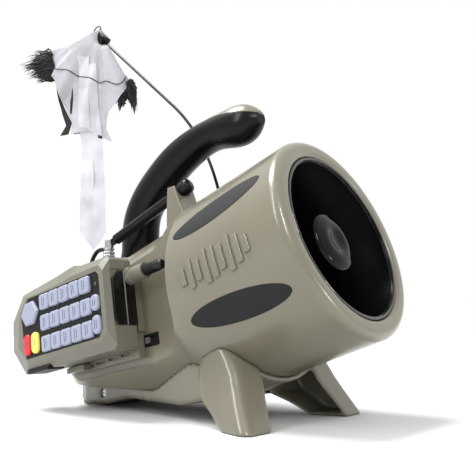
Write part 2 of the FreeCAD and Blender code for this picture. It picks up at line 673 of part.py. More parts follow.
split = dim("case_split")
depth = dim("case_depth")
bevel = dim("case_bevel")
wall = dim("case_wall")
plate_back = dim("plate_front") + dim("plate_thick")
front_case = loft([outline_wire(FACE_OUTLINE, 0), outline_wire(CASE_OUTLINE, bevel)], ruled=True)
front_case = front_case.fuse(Part.Face(outline_wire(CASE_OUTLINE, bevel)).extrude(Vector(0, split - bevel, 0)))
front_case = front_case.cut(
    Part.Face(outline_wire(PANEL_OUTLINE, -1)).extrude(Vector(0, plate_back + 1.1, 0))
)
front_case = front_case.cut(
    Part.Face(outline_wire(PANEL_OUTLINE, plate_back, 3.0)).extrude(Vector(0, split, 0))
)
back_case = loft([outline_wire(CASE_OUTLINE, depth - 5), outline_wire(CASE_OUTLINE, depth, 5.0)], ruled=True)
back_case = back_case.fuse(
    Part.Face(outline_wire(CASE_OUTLINE, split + 0.2)).extrude(Vector(0, depth - 5 - split - 0.2, 0))
)
back_case = back_case.cut(
    Part.Face(outline_wire(CASE_OUTLINE, split, wall)).extrude(Vector(0, depth - split - wall - 1, 0))
)
window_pocket = box(Vector(62, 6.5, -20), Vector(70, 31.5, 28))
BOSS = Vector(60.9, 27, 22.5)
boss = Part.makeCylinder(7.8, 8, BOSS, Vector(1, 0, 0))
boss = boss.fuse(Part.makeCylinder(6.6, 23, BOSS, Vector(1, 0, 0)))
back_case = back_case.cut(window_pocket).fuse(boss.cut(box(Vector(50, 10, 10), Vector(100, split + 0.2, 50))))
grip_pocket = box(Vector(-62, 2, -45), Vector(-26, split + 0.2, -36.5))
front_case = front_case.cut(window_pocket).cut(grip_pocket)
front_case = front_case.cut(Part.makeCylinder(8.1, 30, BOSS - Vector(2, 0, 0), Vector(1, 0, 0)))
feature("remote_back", back_case.removeSplitter(), REMOTE)

grip = Part.Face(outline_wire([(-61.8, -36.6), (-26.2, -36.6), (-30, -40.4), (-60, -40.4)], 3)).extrude(
    Vector(0, split - 3, 0)
)
feature("remote_grip", grip, REMOTE)

# the dark end window is a box let into both halves of the case, chamfered, with a bite for the aerial boss
window = doc.addObject("Part::Box", "window_block")
window.Placement = Placement(Vector(62.1, 7, -19.5), Rotation())
window.Length = 2.2
window.Width = 24
window.Height = 46.0
bevelled_window = doc.addObject("Part::Chamfer", "window_bevel")
bevelled_window.Base = window
bevelled_window.Edges = [(5, 0.8, 0.8), (6, 0.8, 0.8), (7, 0.8, 0.8), (8, 0.8, 0.8)]
boss_room = doc.addObject("Part::Cylinder", "boss_room")
boss_room.Radius = 8.0
boss_room.Height = 12
boss_room.Placement = Placement(BOSS - Vector(3, 0, 0), Rotation(Vector(0, 1, 0), 90))
bitten_window = doc.addObject("Part::Cut", "window_bite")
bitten_window.Base = bevelled_window
bitten_window.Tool = boss_room
keep(bitten_window, "remote_window", REMOTE)

revolved("remote_aerial", REMOTE.multiply(Placement(BOSS + Vector(23, 0, 0), Rotation())), [
    ("0.1", "0"),
    ("0.1", "4.8"),
    ("15", "4.8"),
    ("16", "4.2"),
    ("19.5", "4.0"),
    ("21.5", "2.4"),
    ("21.5", "0"),
])

# keypad: a dark plate with a hole for each key, and the keys themselves
KEY_ROWS = {"top": 19.2, "middle": 0.4, "bottom": -18.6}
FIRST_KEY = -22.9
keys = {}
for row_name, height in KEY_ROWS.items():
    for number in range(5):
        centre = Vector(FIRST_KEY + number * dim("key_pitch"), 0, height)
        keys[f"key_{row_name}_{number + 1}"] = (centre, dim("key_width") / 2, dim("key_tall") / 2, 2.4)
keys["key_round"] = (Vector(49.3, 0, 1.6), 5.0, 6.8, 4.4)
keys["key_oval"] = (Vector(49.3, 0, -16.6), 5.0, 7.8, 4.6)
keys["key_red"] = (Vector(-53.0, 0, -14.9), 4.9, 9.6, 4.8)
keys["key_yellow"] = (Vector(-40.6, 0, -14.9), 5.2, 9.6, 5.0)
hex_key = [(-61, 13.4), (-53.4, 23.4), (-41, 23.8), (-33.6, 13.4), (-41, 2.6), (-54, 2.6)]


def key_blank(spec, grow, start, end):
    """A key's outline grown by a gap, between two depths."""
    centre, half_x, half_z, corner = spec
    low = (centre.x - half_x - grow, centre.z - half_z - grow)
    high = (centre.x + half_x + grow, centre.z + half_z + grow)
    wire = rounded_rectangle(low, high, corner + grow, start, "XZ")
    return Part.Face(wire).extrude(Vector(0, end - start, 0))


def hex_blank(shrink, start, end):
    """The six-sided key's outline drawn in by a distance, between two depths."""
    middle = Vector(-47.3, 0, 13.4)
    points = []
    for x, z in hex_key:
        out = Vector(x, 0, z) - middle
        points.append(middle + out * (1 - shrink / out.Length) + Vector(0, start, 0))
    return prism(points, Vector(0, end - start, 0))


plate = Part.Face(outline_wire(PANEL_OUTLINE, dim("plate_front"), 0.1)).extrude(Vector(0, dim("plate_thick"), 0))
well_end = dim("key_root") + dim("key_travel") + 0.3
wells = [key_blank(spec, dim("key_gap"), -1, well_end) for spec in keys.values()]
wells.append(hex_blank(-dim("key_gap"), -1, well_end))
feature("remote_front", front_case.cut(wells).removeSplitter(), REMOTE)
feature("remote_keypad_plate", plate.cut(wells), REMOTE)
for label, spec in keys.items():
    key = key_blank(spec, 0, -dim("key_proud"), dim("key_root"))
    crown = [edge for edge in key.Edges if edge.BoundBox.YMax < -dim("key_proud") + 0.01]
    feature(label, key.makeFillet(dim("key_round"), crown), REMOTE)
hexagon = hex_blank(0, -dim("key_proud"), dim("key_root"))
crown = [edge for edge in hexagon.Edges if edge.BoundBox.YMax < -dim("key_proud") + 0.01]
feature("key_hex", hexagon.makeChamfer(1.2, crown), REMOTE)

padded("remote_board", REMOTE.multiply(Placement(Vector(0, 6.5, 0), Rotation())), "XZ_Plane", [
    ("-53", "-22"),
    ("46", "-22"),
    ("46", "22"),
    ("-46", "22"),
    ("-54", "11"),
], "dims.board_thick")

# ---------------------------------------------------------------- dock, switch and ports

dock = box(Vector(-48, depth + 0.3, -24), Vector(60, 41.9, 26))
for slot_x in (-34, -6, 22, 48):
    dock = dock.cut(box(Vector(slot_x - 10, depth - 1, -18), Vector(slot_x + 10, depth + 3.3, 12)))
dock = dock.fuse(box(Vector(-38, depth + 0.3, -46), Vector(57, 41.9, -24)))
for number in range(4):
    slit = Vector(-18 + number * 17, depth, -43.4 + number * 0.6)
    dock = dock.cut(box(slit, slit + Vector(13, 2.3, 2.4)))
dock = dock.fuse(box(Vector(-34, 26, -45.5), Vector(-9, 41.9, -40.4)))
inner_side = box(Vector(-400, -61.9, -100), Vector(200, 200, 300))
dock = in_frame(dock, REMOTE, BARREL).cut(in_frame(inner_side, GROUND, BARREL)).cut(outer_shell)
dock = max(dock.Solids, key=lambda solid: solid.Volume)
feature("remote_dock", dock, BARREL)

frame_plate = box(SWITCH + Vector(-8.5, floor_depth - 1.0, -5.0), SWITCH + Vector(8.5, floor_depth + 4, 5.0))
frame_plate = frame_plate.cut(box(SWITCH + Vector(-6.6, 30, -2.8), SWITCH + Vector(6.6, floor_depth + 1.6, 2.8)))
feature("switch_frame", frame_plate, REMOTE)
knob = box(SWITCH + Vector(-6.3, floor_depth - 2.0, -2.5), SWITCH + Vector(-0.3, floor_depth + 1.2, 2.5))
for number in range(4):
    rib_gap = SWITCH + Vector(-5.6 + number * 1.3, floor_depth - 2.2, -3)
    knob = knob.cut(box(rib_gap, rib_gap + Vector(0.6, 0.8, 6)))
feature("power_switch", knob, REMOTE)

# ---------------------------------------------------------------- battery compartment and board

HATCH = Placement(
    Vector(-dim("remote_back"), dim("remote_side"), dim("remote_height")) - ORIGIN,
    Rotation(Vector(0, 1, 0), -dim("remote_pitch")),
)


def to_left(shape):
    """A shape written for the right side, mirrored for the left."""
    return shape.mirror(Vector(0, 0, 0), Vector(0, 1, 0))


door_low = (HATCH_LOW.x - 6, HATCH_LOW.z - 5.5)
door_high = (HATCH_HIGH.x + 6, HATCH_HIGH.z + 5)
door = Part.Face(rounded_rectangle(door_low, door_high, 6, floor_depth - 3.0, "XZ")).extrude(Vector(0, 2.7, 0))
door = door.fuse(box(
    Vector(HINGE_ENDS[0] + 4, HINGE_DEPTH - 1.6, HINGE_HEIGHT - 1.6),
    Vector(HINGE_ENDS[1] - 4, HINGE_DEPTH + 1.6, -32.0),
))
for number in range(4):
    height = -22 + number * 8
    rib_low = Vector(HATCH_LOW.x + 4, floor_depth - 3.5, height)
    rib_high = Vector(HATCH_HIGH.x - 4, floor_depth - 2.2, height + 1.6)
    door = door.cut(box(rib_low, rib_high))
latch_low = Vector(HATCH_MIDDLE - 9, floor_depth - 3.0, door_high[1] - 1)
latch_high = Vector(HATCH_MIDDLE + 9, floor_depth - 0.3, door_high[1] + 5)
door = door.fuse(box(latch_low, latch_high))
pin_length = HINGE_ENDS[1] - HINGE_ENDS[0] + 5
pin_start = Vector(HINGE_ENDS[0] - 2.5, HINGE_DEPTH, HINGE_HEIGHT)
door_pins = Part.makeCylinder(dim("pin_radius"), pin_length, pin_start, Vector(1, 0, 0))
door = door.fuse(door_pins)
feature("battery_door", to_left(door), HATCH)

inner_floor = floor_depth + dim("wall") + 0.3
tray = box(HATCH_LOW + Vector(-2, inner_floor, -1.5), HATCH_HIGH + Vector(2, inner_floor + 22, 1.5))
tray = tray.cut(box(HATCH_LOW + Vector(0.5, inner_floor - 1, 0.5), HATCH_HIGH + Vector(-0.5, inner_floor + 20, -0.5)))
feature("battery_tray", to_left(tray), HATCH)
cells = []
for column in (-1, 1):
    for line in (-1, 1):
        start = Vector(HATCH_MIDDLE - 25.2 + column * 26.5, inner_floor + 10, -9.5 + line * 7.8)
        can = Part.makeCylinder(7.0, 48.8, start, Vector(1, 0, 0))
        nub = Part.makeCylinder(2.7, 1.6, start + Vector(48.8, 0, 0), Vector(1, 0, 0))
        cells.append(can.fuse(nub))
feature("battery_cells", to_left(Part.makeCompound(cells)), HATCH)

padded("main_board", BARREL.multiply(Placement(Vector(-215, -24, 0), Rotation())), "XZ_Plane", [
    ("-52", "-34"),
    ("44", "-34"),
    ("44", "38"),
    ("-38", "38"),
    ("-52", "24"),
], "dims.board_thick")

# ---------------------------------------------------------------- decoy drive, wand and decoy

revolved("decoy_motor", HUB_PLACE, [
    ("-46", "0"),
    ("-46", "9"),
    ("-44", "11"),
    ("-21", "11"),
    ("-21", "5"),
    ("-19", "5"),
    ("-19", "2"),
    ("-6", "2"),
    ("-6", "0"),
])
hub = Part.makeCylinder(dim("hub_radius"), 22, Vector(-8, 0, 0), Vector(1, 0, 0))
hub = hub.fuse(Part.makeCone(8.5, dim("hub_radius"), 5, Vector(7.5, 0, 0), Vector(1, 0, 0)))
hub = hub.cut(Part.makeCylinder(2.05, 3, Vector(-8.5, 0, 0), Vector(1, 0, 0)))
hub = hub.cut(Part.makeCylinder(dim("wand_radius") + 0.02, 30, Vector(4, 0, 0), Vector(1, 0, 0)))
feature("decoy_hub", hub, HUB_PLACE)

WAND_BEND = Vector(-176.4, dim("hub_side"), 265.0)
WAND_END = Vector(-374.0, dim("hub_side"), 447.0)
WAND_WAY = (WAND_END - WAND_BEND).normalize()
lower_way = (WAND_BEND - HUB_FOOT).normalize()
half_turn = lower_way.getAngle(WAND_WAY) / 2
reach = dim("wand_bend") * math.tan(half_turn)
arc_start = WAND_BEND - lower_way * reach
arc_end = WAND_BEND + WAND_WAY * reach
inward = (WAND_WAY - lower_way).normalize()
arc_middle = WAND_BEND + inward * (dim("wand_bend") / math.cos(half_turn) - dim("wand_bend"))
wand_edges = [
    Part.LineSegment(HUB_FOOT + lower_way * 4.2, arc_start).toShape(),
    Part.Arc(arc_start, arc_middle, arc_end).toShape(),
    Part.LineSegment(arc_end, WAND_END).toShape(),
]
wand = swept_rod(Part.Wire(wand_edges), dim("wand_radius"))
print("wand volume", round(wand.Volume, 1), "section times length",
      round(math.pi * dim("wand_radius") ** 2 * Part.Wire(wand_edges).Length, 1))
feature("decoy_wand", wand, GROUND)

CLIP = Placement(WAND_END - ORIGIN, Rotation(Vector(1, 0, 0), WAND_WAY))
clip = doc.addObject("Part::Box", "clip_block")
clip.Length = 16
clip.Width = 13
clip.Height = 13
clip.Placement = Placement(Vector(-5, -6.5, -6.5), Rotation())
clip_round = doc.addObject("Part::Fillet", "clip_round")
clip_round.Base = clip
clip_round.Edges = [(number, 1.5, 1.5) for number in range(1, 13)]
clip_hole = doc.addObject("Part::Cylinder", "clip_hole")
bind(clip_hole, Radius="dims.wand_radius + 0.02")
clip_hole.Height = 6
clip_hole.Placement = Placement(Vector(-6, 0, 0), Rotation(Vector(0, 1, 0), 90))
decoy_clip = doc.addObject("Part::Cut", "decoy_clip")
decoy_clip.Base = clip_round
decoy_clip.Tool = clip_hole
keep(decoy_clip, "decoy_clip", CLIP)

# the decoy hangs in a plane turned about the vertical, with its origin beside the clip
DECOY_TURN = 39.7
DECOY_TOP = Vector(-364.1, dim("hub_side"), 449.1)
DECOY = Placement(DECOY_TOP - ORIGIN, Rotation(Vector(0, 0, 1), DECOY_TURN))
CLOTH = [
    (-9, 14), (-30, 0.5), (-47, -11.5), (-77, -21), (-72, -32.5), (-66.5, -48), (-69, -56), (-62, -72.5),
    (-56, -87), (-41, -117.5), (-42.5, -131.5), (-9, -130), (-3.5, -135), (9.5, -142.5), (1.2, -125.5),
    (4.2, -101.5), (25, -74), (31, -60.5), (21.6, -49), (10.8, -31.5), (-1, -13),
]
STREAMERS = [
    [(-30.5, -132), (-18, -132), (-13.2, -200), (-12.3, -274), (-27, -257), (-27.5, -200)],
    [(-17, -132), (-3.5, -136), (3.5, -210), (6, -257), (-11.7, -278), (-12.6, -200)],
]
TUFTS = [
    [
        (-77.8, -21.5), (-89, -24.5), (-112, -40), (-101, -57), (-80, -61), (-69.8, -56.3), (-67.1, -48),
        (-72.7, -32.5),
    ],
    [(31.8, -61), (40, -68), (40, -104), (33, -92), (25, -82), (17, -101), (14.5, -90.5), (25.5, -74.5)],
]


def flat_piece(pairs, thickness):
    points = [Vector(x, -thickness / 2, z) for x, z in pairs]
    return prism(points, Vector(0, thickness, 0))


clip_space = in_frame(box(Vector(-60, -7, -7), Vector(11.3, 7, 7)), CLIP, DECOY)
cloth = flat_piece(CLOTH, 16).cut(clip_space)
cloth = max(cloth.Solids, key=lambda solid: solid.Volume)
feature("decoy_cloth", cloth, DECOY)
feature("decoy_streamers", Part.makeCompound([flat_piece(pairs, 3) for pairs in STREAMERS]), DECOY)
feature("decoy_fur", Part.makeCompound([flat_piece(pairs, 18) for pairs in TUFTS]), DECOY)

# ---------------------------------------------------------------- screws

screws = []
seat_depth = head_depth - dim("screw_head") - 0.02
for spot in screw_spots:
    screws.append((spot + Vector(0, 0, seat_depth), Vector(0, 0, 1)))
for side in (-1, 1):
    screws.append((Vector(SIDE_SCREW.x, side * (SIDE_SCREW.y - seat_depth), SIDE_SCREW.z), Vector(0, -side, 0)))
solids = []
for seat, way in screws:
    head = Part.makeCylinder(dim("screw_radius"), dim("screw_head"), seat, way)
    slot_across = way.cross(Vector(1, 0, 0)).normalize()
    driver_slot = Part.makeBox(8, 1.0, 0.8, Vector(-4, -0.5, -0.01))
    driver_slot.Placement = Placement(seat, Rotation(Vector(1, 0, 0), slot_across, way, "ZXY"))
    solids.append(head.cut(driver_slot))
feature("base_screws", Part.makeCompound(solids), GROUND)

# ---------------------------------------------------------------- check and write

doc.recompute()
for obj in doc.Objects:
    if "Invalid" in obj.State or "Error" in obj.State:
        raise SystemExit(f"{obj.Name} failed: {obj.State}")
names = set()
for obj in nodes:
    shape = obj.Shape
    if shape.isNull() or not shape.isValid() or shape.Volume <= 0:
        raise SystemExit(f"{obj.Label} has no valid shape")
    if obj.Label in names:
        raise SystemExit(f"{obj.Label} is used twice")
    names.add(obj.Label)
os.makedirs("parts", exist_ok=True)
for obj in nodes:
    obj.Shape.exportStep(f"parts/{obj.Label}.step")
whole = Part.makeCompound([obj.Shape for obj in nodes]).BoundBox
print(len(nodes), "nodes; low", [round(v, 1) for v in (whole.XMin, whole.YMin, whole.ZMin)],
      "high", [round(v, 1) for v in (whole.XMax, whole.YMax, whole.ZMax)])
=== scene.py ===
"""Visual model of the electronic game caller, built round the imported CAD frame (metres, same frame)."""
import json
import math
import random
import bpy
import bmesh
from mathutils import Matrix, Vector, noise
from mathutils.geometry import delaunay_2d_cdt


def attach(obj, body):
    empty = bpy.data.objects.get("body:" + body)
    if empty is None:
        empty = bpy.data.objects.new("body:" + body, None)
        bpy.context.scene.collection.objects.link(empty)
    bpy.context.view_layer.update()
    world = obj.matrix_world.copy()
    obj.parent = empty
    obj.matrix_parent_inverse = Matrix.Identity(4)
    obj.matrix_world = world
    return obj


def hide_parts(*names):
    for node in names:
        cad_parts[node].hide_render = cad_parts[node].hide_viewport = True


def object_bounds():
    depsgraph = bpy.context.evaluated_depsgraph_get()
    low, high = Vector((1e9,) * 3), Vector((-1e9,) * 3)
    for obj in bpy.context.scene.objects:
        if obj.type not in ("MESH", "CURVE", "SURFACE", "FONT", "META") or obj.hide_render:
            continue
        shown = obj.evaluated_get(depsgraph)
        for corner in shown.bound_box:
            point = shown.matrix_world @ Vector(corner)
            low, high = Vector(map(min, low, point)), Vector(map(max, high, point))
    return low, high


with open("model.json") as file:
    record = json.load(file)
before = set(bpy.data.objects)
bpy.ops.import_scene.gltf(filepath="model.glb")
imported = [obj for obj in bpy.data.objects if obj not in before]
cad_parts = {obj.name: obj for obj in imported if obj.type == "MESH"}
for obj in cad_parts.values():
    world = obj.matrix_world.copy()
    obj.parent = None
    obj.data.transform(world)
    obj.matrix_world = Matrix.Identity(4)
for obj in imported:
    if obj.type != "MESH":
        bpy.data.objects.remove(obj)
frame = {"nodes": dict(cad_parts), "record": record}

CAD_BOX = [list(corner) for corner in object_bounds()]
NODES = frame["nodes"]
MM = 0.001
# the tripod socket's mouth, in millimetres from the point on the floor below the middle of the horn's mouth
ORIGIN = Vector((-150.0, 0.0, 12.0))
MOUTH_HEIGHT = 146.5
BARREL_PITCH = 19.15
REMOTE_PITCH = 11.1


def tilted(origin, pitch):
    """A local frame in millimetres: X forward and raised by pitch, Y to the left."""
    a = math.radians(pitch)
    x = Vector((math.cos(a), 0, math.sin(a)))
    y = Vector((0, 1, 0))
    z = Vector((-math.sin(a), 0, math.cos(a)))
    o = (Vector(origin) - ORIGIN) * MM
    return Matrix([[x[i] * MM, y[i] * MM, z[i] * MM, o[i]] for i in range(3)] + [[0, 0, 0, 1]])


GROUND = tilted((0, 0, 0), 0)
BARREL = tilted((0, 0, MOUTH_HEIGHT), BARREL_PITCH)
REMOTE = tilted((-225.2, -104.0, 84.2), REMOTE_PITCH)

# ------------------------------------------------------------------ materials


def new_material(name):
    mat = bpy.data.materials.new(name)
    mat.use_nodes = True
    nodes = mat.node_tree.nodes
    return mat, nodes, mat.node_tree.links, nodes["Principled BSDF"]


def noise_node(nodes, links, coords, scale, detail):
    node = nodes.new("ShaderNodeTexNoise")
    node.inputs["Scale"].default_value = scale
    node.inputs["Detail"].default_value = detail
    node.inputs["Roughness"].default_value = 0.55
    links.new(coords, node.inputs["Vector"])
    return node


def ramp(nodes, links, source, stops):
    node = nodes.new("ShaderNodeValToRGB")
    while len(node.color_ramp.elements) < len(stops):
        node.color_ramp.elements.new(0.5)
    for element, (place, color) in zip(node.color_ramp.elements, stops):
        element.position = place
        element.color = (*color, 1)
    links.new(source, node.inputs["Fac"])
    return node


def map_range(nodes, links, source, low, high):
    node = nodes.new("ShaderNodeMapRange")
    node.inputs["To Min"].default_value = low
    node.inputs["To Max"].default_value = high
    links.new(source, node.inputs["Value"])
    return node


def moulded(name, color, rough, grain, bump, vary, coat=0.0, metallic=0.0, edge=0.0006, edge_highlight=0.0, shine=0.5):
    """Moulded plastic, rubber or metal: fine grain, slow colour drift, smudged gloss, softened edges, and a
    painted highlight along edges.
    """
    mat, nodes, links, shader = new_material(name)
    coords = nodes.new("ShaderNodeTexCoord").outputs["Object"]
    drift = noise_node(nodes, links, coords, 14.0, 4.0)
    dark = [c * (1 - vary) for c in color]
    light = [min(1.0, c * (1 + vary)) for c in color]
    tint = ramp(nodes, links, drift.outputs["Fac"], [(0.32, dark), (0.68, light)])
    base = tint.outputs["Color"]
    fine = noise_node(nodes, links, coords, grain, 2.0)
    soft = nodes.new("ShaderNodeBevel")
    soft.samples = 4
    soft.inputs["Radius"].default_value = edge
    # painted highlight: edges are made lighter in colour where the rounded-edge normal turns from the face's
    # own, so they look lit
    if edge_highlight > 0:
        geometry = nodes.new("ShaderNodeNewGeometry")
        match = nodes.new("ShaderNodeVectorMath")
        match.operation = "DOT_PRODUCT"
        links.new(soft.outputs["Normal"], match.inputs[0])
        links.new(geometry.outputs["Normal"], match.inputs[1])
        rim = nodes.new("ShaderNodeMapRange")
        rim.inputs["From Min"].default_value = 1.0
        rim.inputs["From Max"].default_value = 0.86
        rim.inputs["To Max"].default_value = edge_highlight
        links.new(match.outputs["Value"], rim.inputs["Value"])
        mix = nodes.new("ShaderNodeMix")
        mix.data_type = "RGBA"
        mix.inputs["B"].default_value = (*[min(1.0, c * 1.7 + 0.02) for c in color], 1)
        links.new(rim.outputs["Result"], mix.inputs["Factor"])
        links.new(base, mix.inputs["A"])
        base = mix.outputs["Result"]
    links.new(base, shader.inputs["Base Color"])
    smudge = noise_node(nodes, links, coords, 45.0, 5.0)
    gloss = map_range(nodes, links, smudge.outputs["Fac"], rough * 0.82, rough * 1.18)
    links.new(gloss.outputs["Result"], shader.inputs["Roughness"])
    relief = nodes.new("ShaderNodeBump")
    relief.inputs["Strength"].default_value = bump
    relief.inputs["Distance"].default_value = 0.0004
    links.new(fine.outputs["Fac"], relief.inputs["Height"])
    links.new(soft.outputs["Normal"], relief.inputs["Normal"])
    links.new(relief.outputs["Normal"], shader.inputs["Normal"])
    shader.inputs["Metallic"].default_value = metallic
    shader.inputs["Specular IOR Level"].default_value = shine
    shader.inputs["Coat Weight"].default_value = coat
    shader.inputs["Coat Roughness"].default_value = 0.12
    return mat


OLIVE = (0.128, 0.118, 0.082)
OLIVE_DULL = (0.120, 0.116, 0.089)
# name, colour, roughness, grain, bump, colour drift, then any coat, metal, edge radius, painted edge
# highlight and shine
MOULDED = {
    "olive_shell": ("olive_plastic", OLIVE, 0.30, 1100, 0.05, 0.05, dict(coat=0.35, edge=0.0010, edge_highlight=0.25)),
    "olive_remote": ("olive_remote_plastic", OLIVE_DULL, 0.42, 1500, 0.10, 0.05, dict(edge=0.0007, edge_highlight=0.7)),
    "oval_rubber": ("oval_inlay", (0.0075, 0.008, 0.0085), 0.55, 1800, 0.22, 0.10, dict(shine=0.22)),
    "horn_black": ("horn_gloss", (0.0015, 0.0015, 0.0016), 0.16, 600, 0.02, 0.2, dict(shine=0.16)),
    "handle_rubber": ("handle_grip_black", (0.0012, 0.0012, 0.0015), 0.28, 1300, 0.05, 0.2, dict(shine=0.17)),
    "black_plastic": ("black_moulded", (0.003, 0.003, 0.0033), 0.30, 1500, 0.08, 0.2, dict(shine=0.22)),
    "dark_plastic": ("dark_panel", (0.0035, 0.0037, 0.004), 0.5, 1800, 0.12, 0.15, dict(shine=0.2)),
    "window_black": ("window_gloss", (0.003, 0.003, 0.0035), 0.2, 500, 0.01, 0.2, dict(shine=0.3)),
    "key_grey": ("key_rubber", (0.23, 0.25, 0.33), 0.48, 1400, 0.08, 0.06, dict(edge_highlight=0.2)),
    "key_red": ("key_rubber_red", (0.50, 0.008, 0.016), 0.42, 1400, 0.06, 0.08, {}),
    "key_yellow": ("key_rubber_yellow", (0.78, 0.66, 0.10), 0.42, 1400, 0.06, 0.06, {}),
    "steel": (
        "brushed_wire_steel", (0.45, 0.45, 0.46), 0.28, 2500, 0.12, 0.12, dict(metallic=1.0, edge=0.0003),
    ),
    "bright_metal": (
        "plated_metal", (0.42, 0.42, 0.43), 0.16, 900, 0.05, 0.08, dict(metallic=1.0, edge=0.0004),
    ),
    "brass_insert": ("turned_brass", (0.62, 0.44, 0.16), 0.25, 900, 0.05, 0.1, dict(metallic=1.0)),
    "board_green": ("board_laminate", (0.02, 0.10, 0.04), 0.35, 400, 0.10, 0.3, {}),
    "cell_skin": ("cell_sleeve", (0.05, 0.05, 0.055), 0.3, 300, 0.02, 0.3, {}),
    "aluminium_part": ("spun_aluminium", (0.6, 0.6, 0.62), 0.3, 900, 0.05, 0.1, dict(metallic=1.0)),
    "wand_dark": (
        "blackened_wire", (0.003, 0.003, 0.0033), 0.3, 2500, 0.0, 0.1, dict(edge=0.0003, shine=0.3),
    ),
    "plug_gloss": ("horn_plug_gloss", (0.0015, 0.0015, 0.0016), 0.10, 600, 0.01, 0.2, dict(shine=0.15)),
    # the horn's inside: the horn's black made darker in colour as painted shade deep in the horn, and given
    # less gloss
    "horn_inner": ("horn_inner_black", (0.0008, 0.0008, 0.0009), 0.4, 600, 0.01, 0.2, dict(shine=0.04)),
    "ring_gloss": (
        "ring_gloss", (0.002, 0.002, 0.002), 0.10, 600, 0.01, 0.2, dict(coat=0.3, edge=0.0003, shine=0.6),
    ),
    "lens_grey": ("lens_smoke", (0.05, 0.05, 0.05), 0.15, 900, 0.0, 0.1, {}),
    "mark_grey": ("key_marking", (0.085, 0.09, 0.15), 0.5, 2000, 0.05, 0.1, {}),
}
M = {slot: moulded(*facts[:-1], **facts[-1]) for slot, facts in MOULDED.items()}


def cloth_material(name, color, weave, translucent, rough=0.85, sheen=0.3, alpha=1.0):
    """Thin woven fabric or film that lets some light through."""
    mat, nodes, links, shader = new_material(name)
    coords = nodes.new("ShaderNodeTexCoord").outputs["Object"]
    drift = noise_node(nodes, links, coords, 40.0, 4.0)
    dark = [c * 0.84 for c in color]
    light = [min(1, c * 1.1) for c in color]
    tint = ramp(nodes, links, drift.outputs["Fac"], [(0.3, dark), (0.7, light)])
    links.new(tint.outputs["Color"], shader.inputs["Base Color"])
    shader.inputs["Roughness"].default_value = rough
    shader.inputs["Sheen Weight"].default_value = sheen
    shader.inputs["Alpha"].default_value = alpha
    threads = []
    for direction in ("X", "Z"):
        wave = nodes.new("ShaderNodeTexWave")
        wave.bands_direction = direction
        wave.inputs["Scale"].default_value = weave
        wave.inputs["Distortion"].default_value = 0.6
        links.new(coords, wave.inputs["Vector"])
        threads.append(wave.outputs["Fac"])
    cross = nodes.new("ShaderNodeMath")
    cross.operation = "ADD"
    links.new(threads[0], cross.inputs[0])
    links.new(threads[1], cross.inputs[1])
    relief = nodes.new("ShaderNodeBump")
    relief.inputs["Strength"].default_value = 0.12
    relief.inputs["Distance"].default_value = 0.0002
    links.new(cross.outputs["Value"], relief.inputs["Height"])
    links.new(relief.outputs["Normal"], shader.inputs["Normal"])
    through = nodes.new("ShaderNodeBsdfTranslucent")
    links.new(tint.outputs["Color"], through.inputs["Color"])
    mix = nodes.new("ShaderNodeMixShader")
    mix.inputs["Fac"].default_value = translucent
    out = nodes["Material Output"]
    links.new(shader.outputs["BSDF"], mix.inputs[1])
    links.new(through.outputs["BSDF"], mix.inputs[2])
    links.new(mix.outputs["Shader"], out.inputs["Surface"])
    return mat


M["cloth_grey"] = cloth_material("hood_fabric", (0.50, 0.50, 0.53), 1500, 0.22, alpha=0.96)
M["film_white"] = cloth_material("streamer_film", (0.66, 0.66, 0.70), 300, 0.25, 0.35, 0.0, 0.92)
M["fur_black"] = cloth_material("fur_fibre", (0.003, 0.003, 0.003), 900, 0.0, 0.7, 0.0)
M["ribbon_black"] = cloth_material("ribbon_fabric", (0.004, 0.0045, 0.004), 1500, 0.0, 0.8, 0.0)

SLOT_OF = {item["node"]: item["material_slot"] for item in frame["record"]["subparts"]}
for node_name, node in NODES.items():
    node.data.materials.clear()
    node.data.materials.append(M["wand_dark"] if node_name == "decoy_wand" else M[SLOT_OF[node_name]])
    for face in node.data.polygons:
        face.use_smooth = True
    node.data.set_sharp_from_angle(angle=math.radians(32))

# ------------------------------------------------------------------ mesh helpers


def piece(name, verts, faces, body, slot, stands_for=(), material=None, sharp=32, thicken=0.0, bevel=0.0):
    """A mesh piece in world metres, with its material, riding on a body."""
    mesh = bpy.data.meshes.new(name)
    mesh.from_pydata([tuple(v) for v in verts], [], faces)
    mesh.validate()
    work = bmesh.new()
    work.from_mesh(mesh)
    bmesh.ops.remove_doubles(work, verts=work.verts, dist=1e-7)
    bmesh.ops.recalc_face_normals(work, faces=work.faces)
    work.to_mesh(mesh)
    work.free()
    obj = bpy.data.objects.new(name, mesh)
    bpy.context.scene.collection.objects.link(obj)
    mesh.materials.append(material or M[slot])
    finish_piece(obj, thicken, bevel, sharp)
    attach(obj, body)
    if stands_for:
        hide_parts(*stands_for)
    return obj


def finish_piece(obj, thicken, bevel, sharp):
    """Thickness and rounded edges, made part of the mesh, then smooth shading."""
    if thicken:
        mod = obj.modifiers.new("thickness", "SOLIDIFY")
        mod.thickness = thicken
        mod.offset = 0
    if bevel:
        mod = obj.modifiers.new("edges", "BEVEL")
        mod.width = bevel
        mod.segments = 3
        mod.limit_method = "ANGLE"
        mod.angle_limit = math.radians(28)
    if obj.modifiers:
        apply_modifiers(obj)
    for face in obj.data.polygons:
        face.use_smooth = True
    obj.data.set_sharp_from_angle(angle=math.radians(sharp))


def apply_modifiers(obj):
    """Put the modifiers' result in place of the mesh."""
    graph = bpy.context.evaluated_depsgraph_get()
    done = bpy.data.meshes.new_from_object(obj.evaluated_get(graph))
    old = obj.data
    obj.modifiers.clear()
    obj.data = done
    done.name = obj.name
    bpy.data.meshes.remove(old)


def place(matrix, points):
    """Points of a local frame, in world metres."""
    return [matrix @ Vector(p) for p in points]


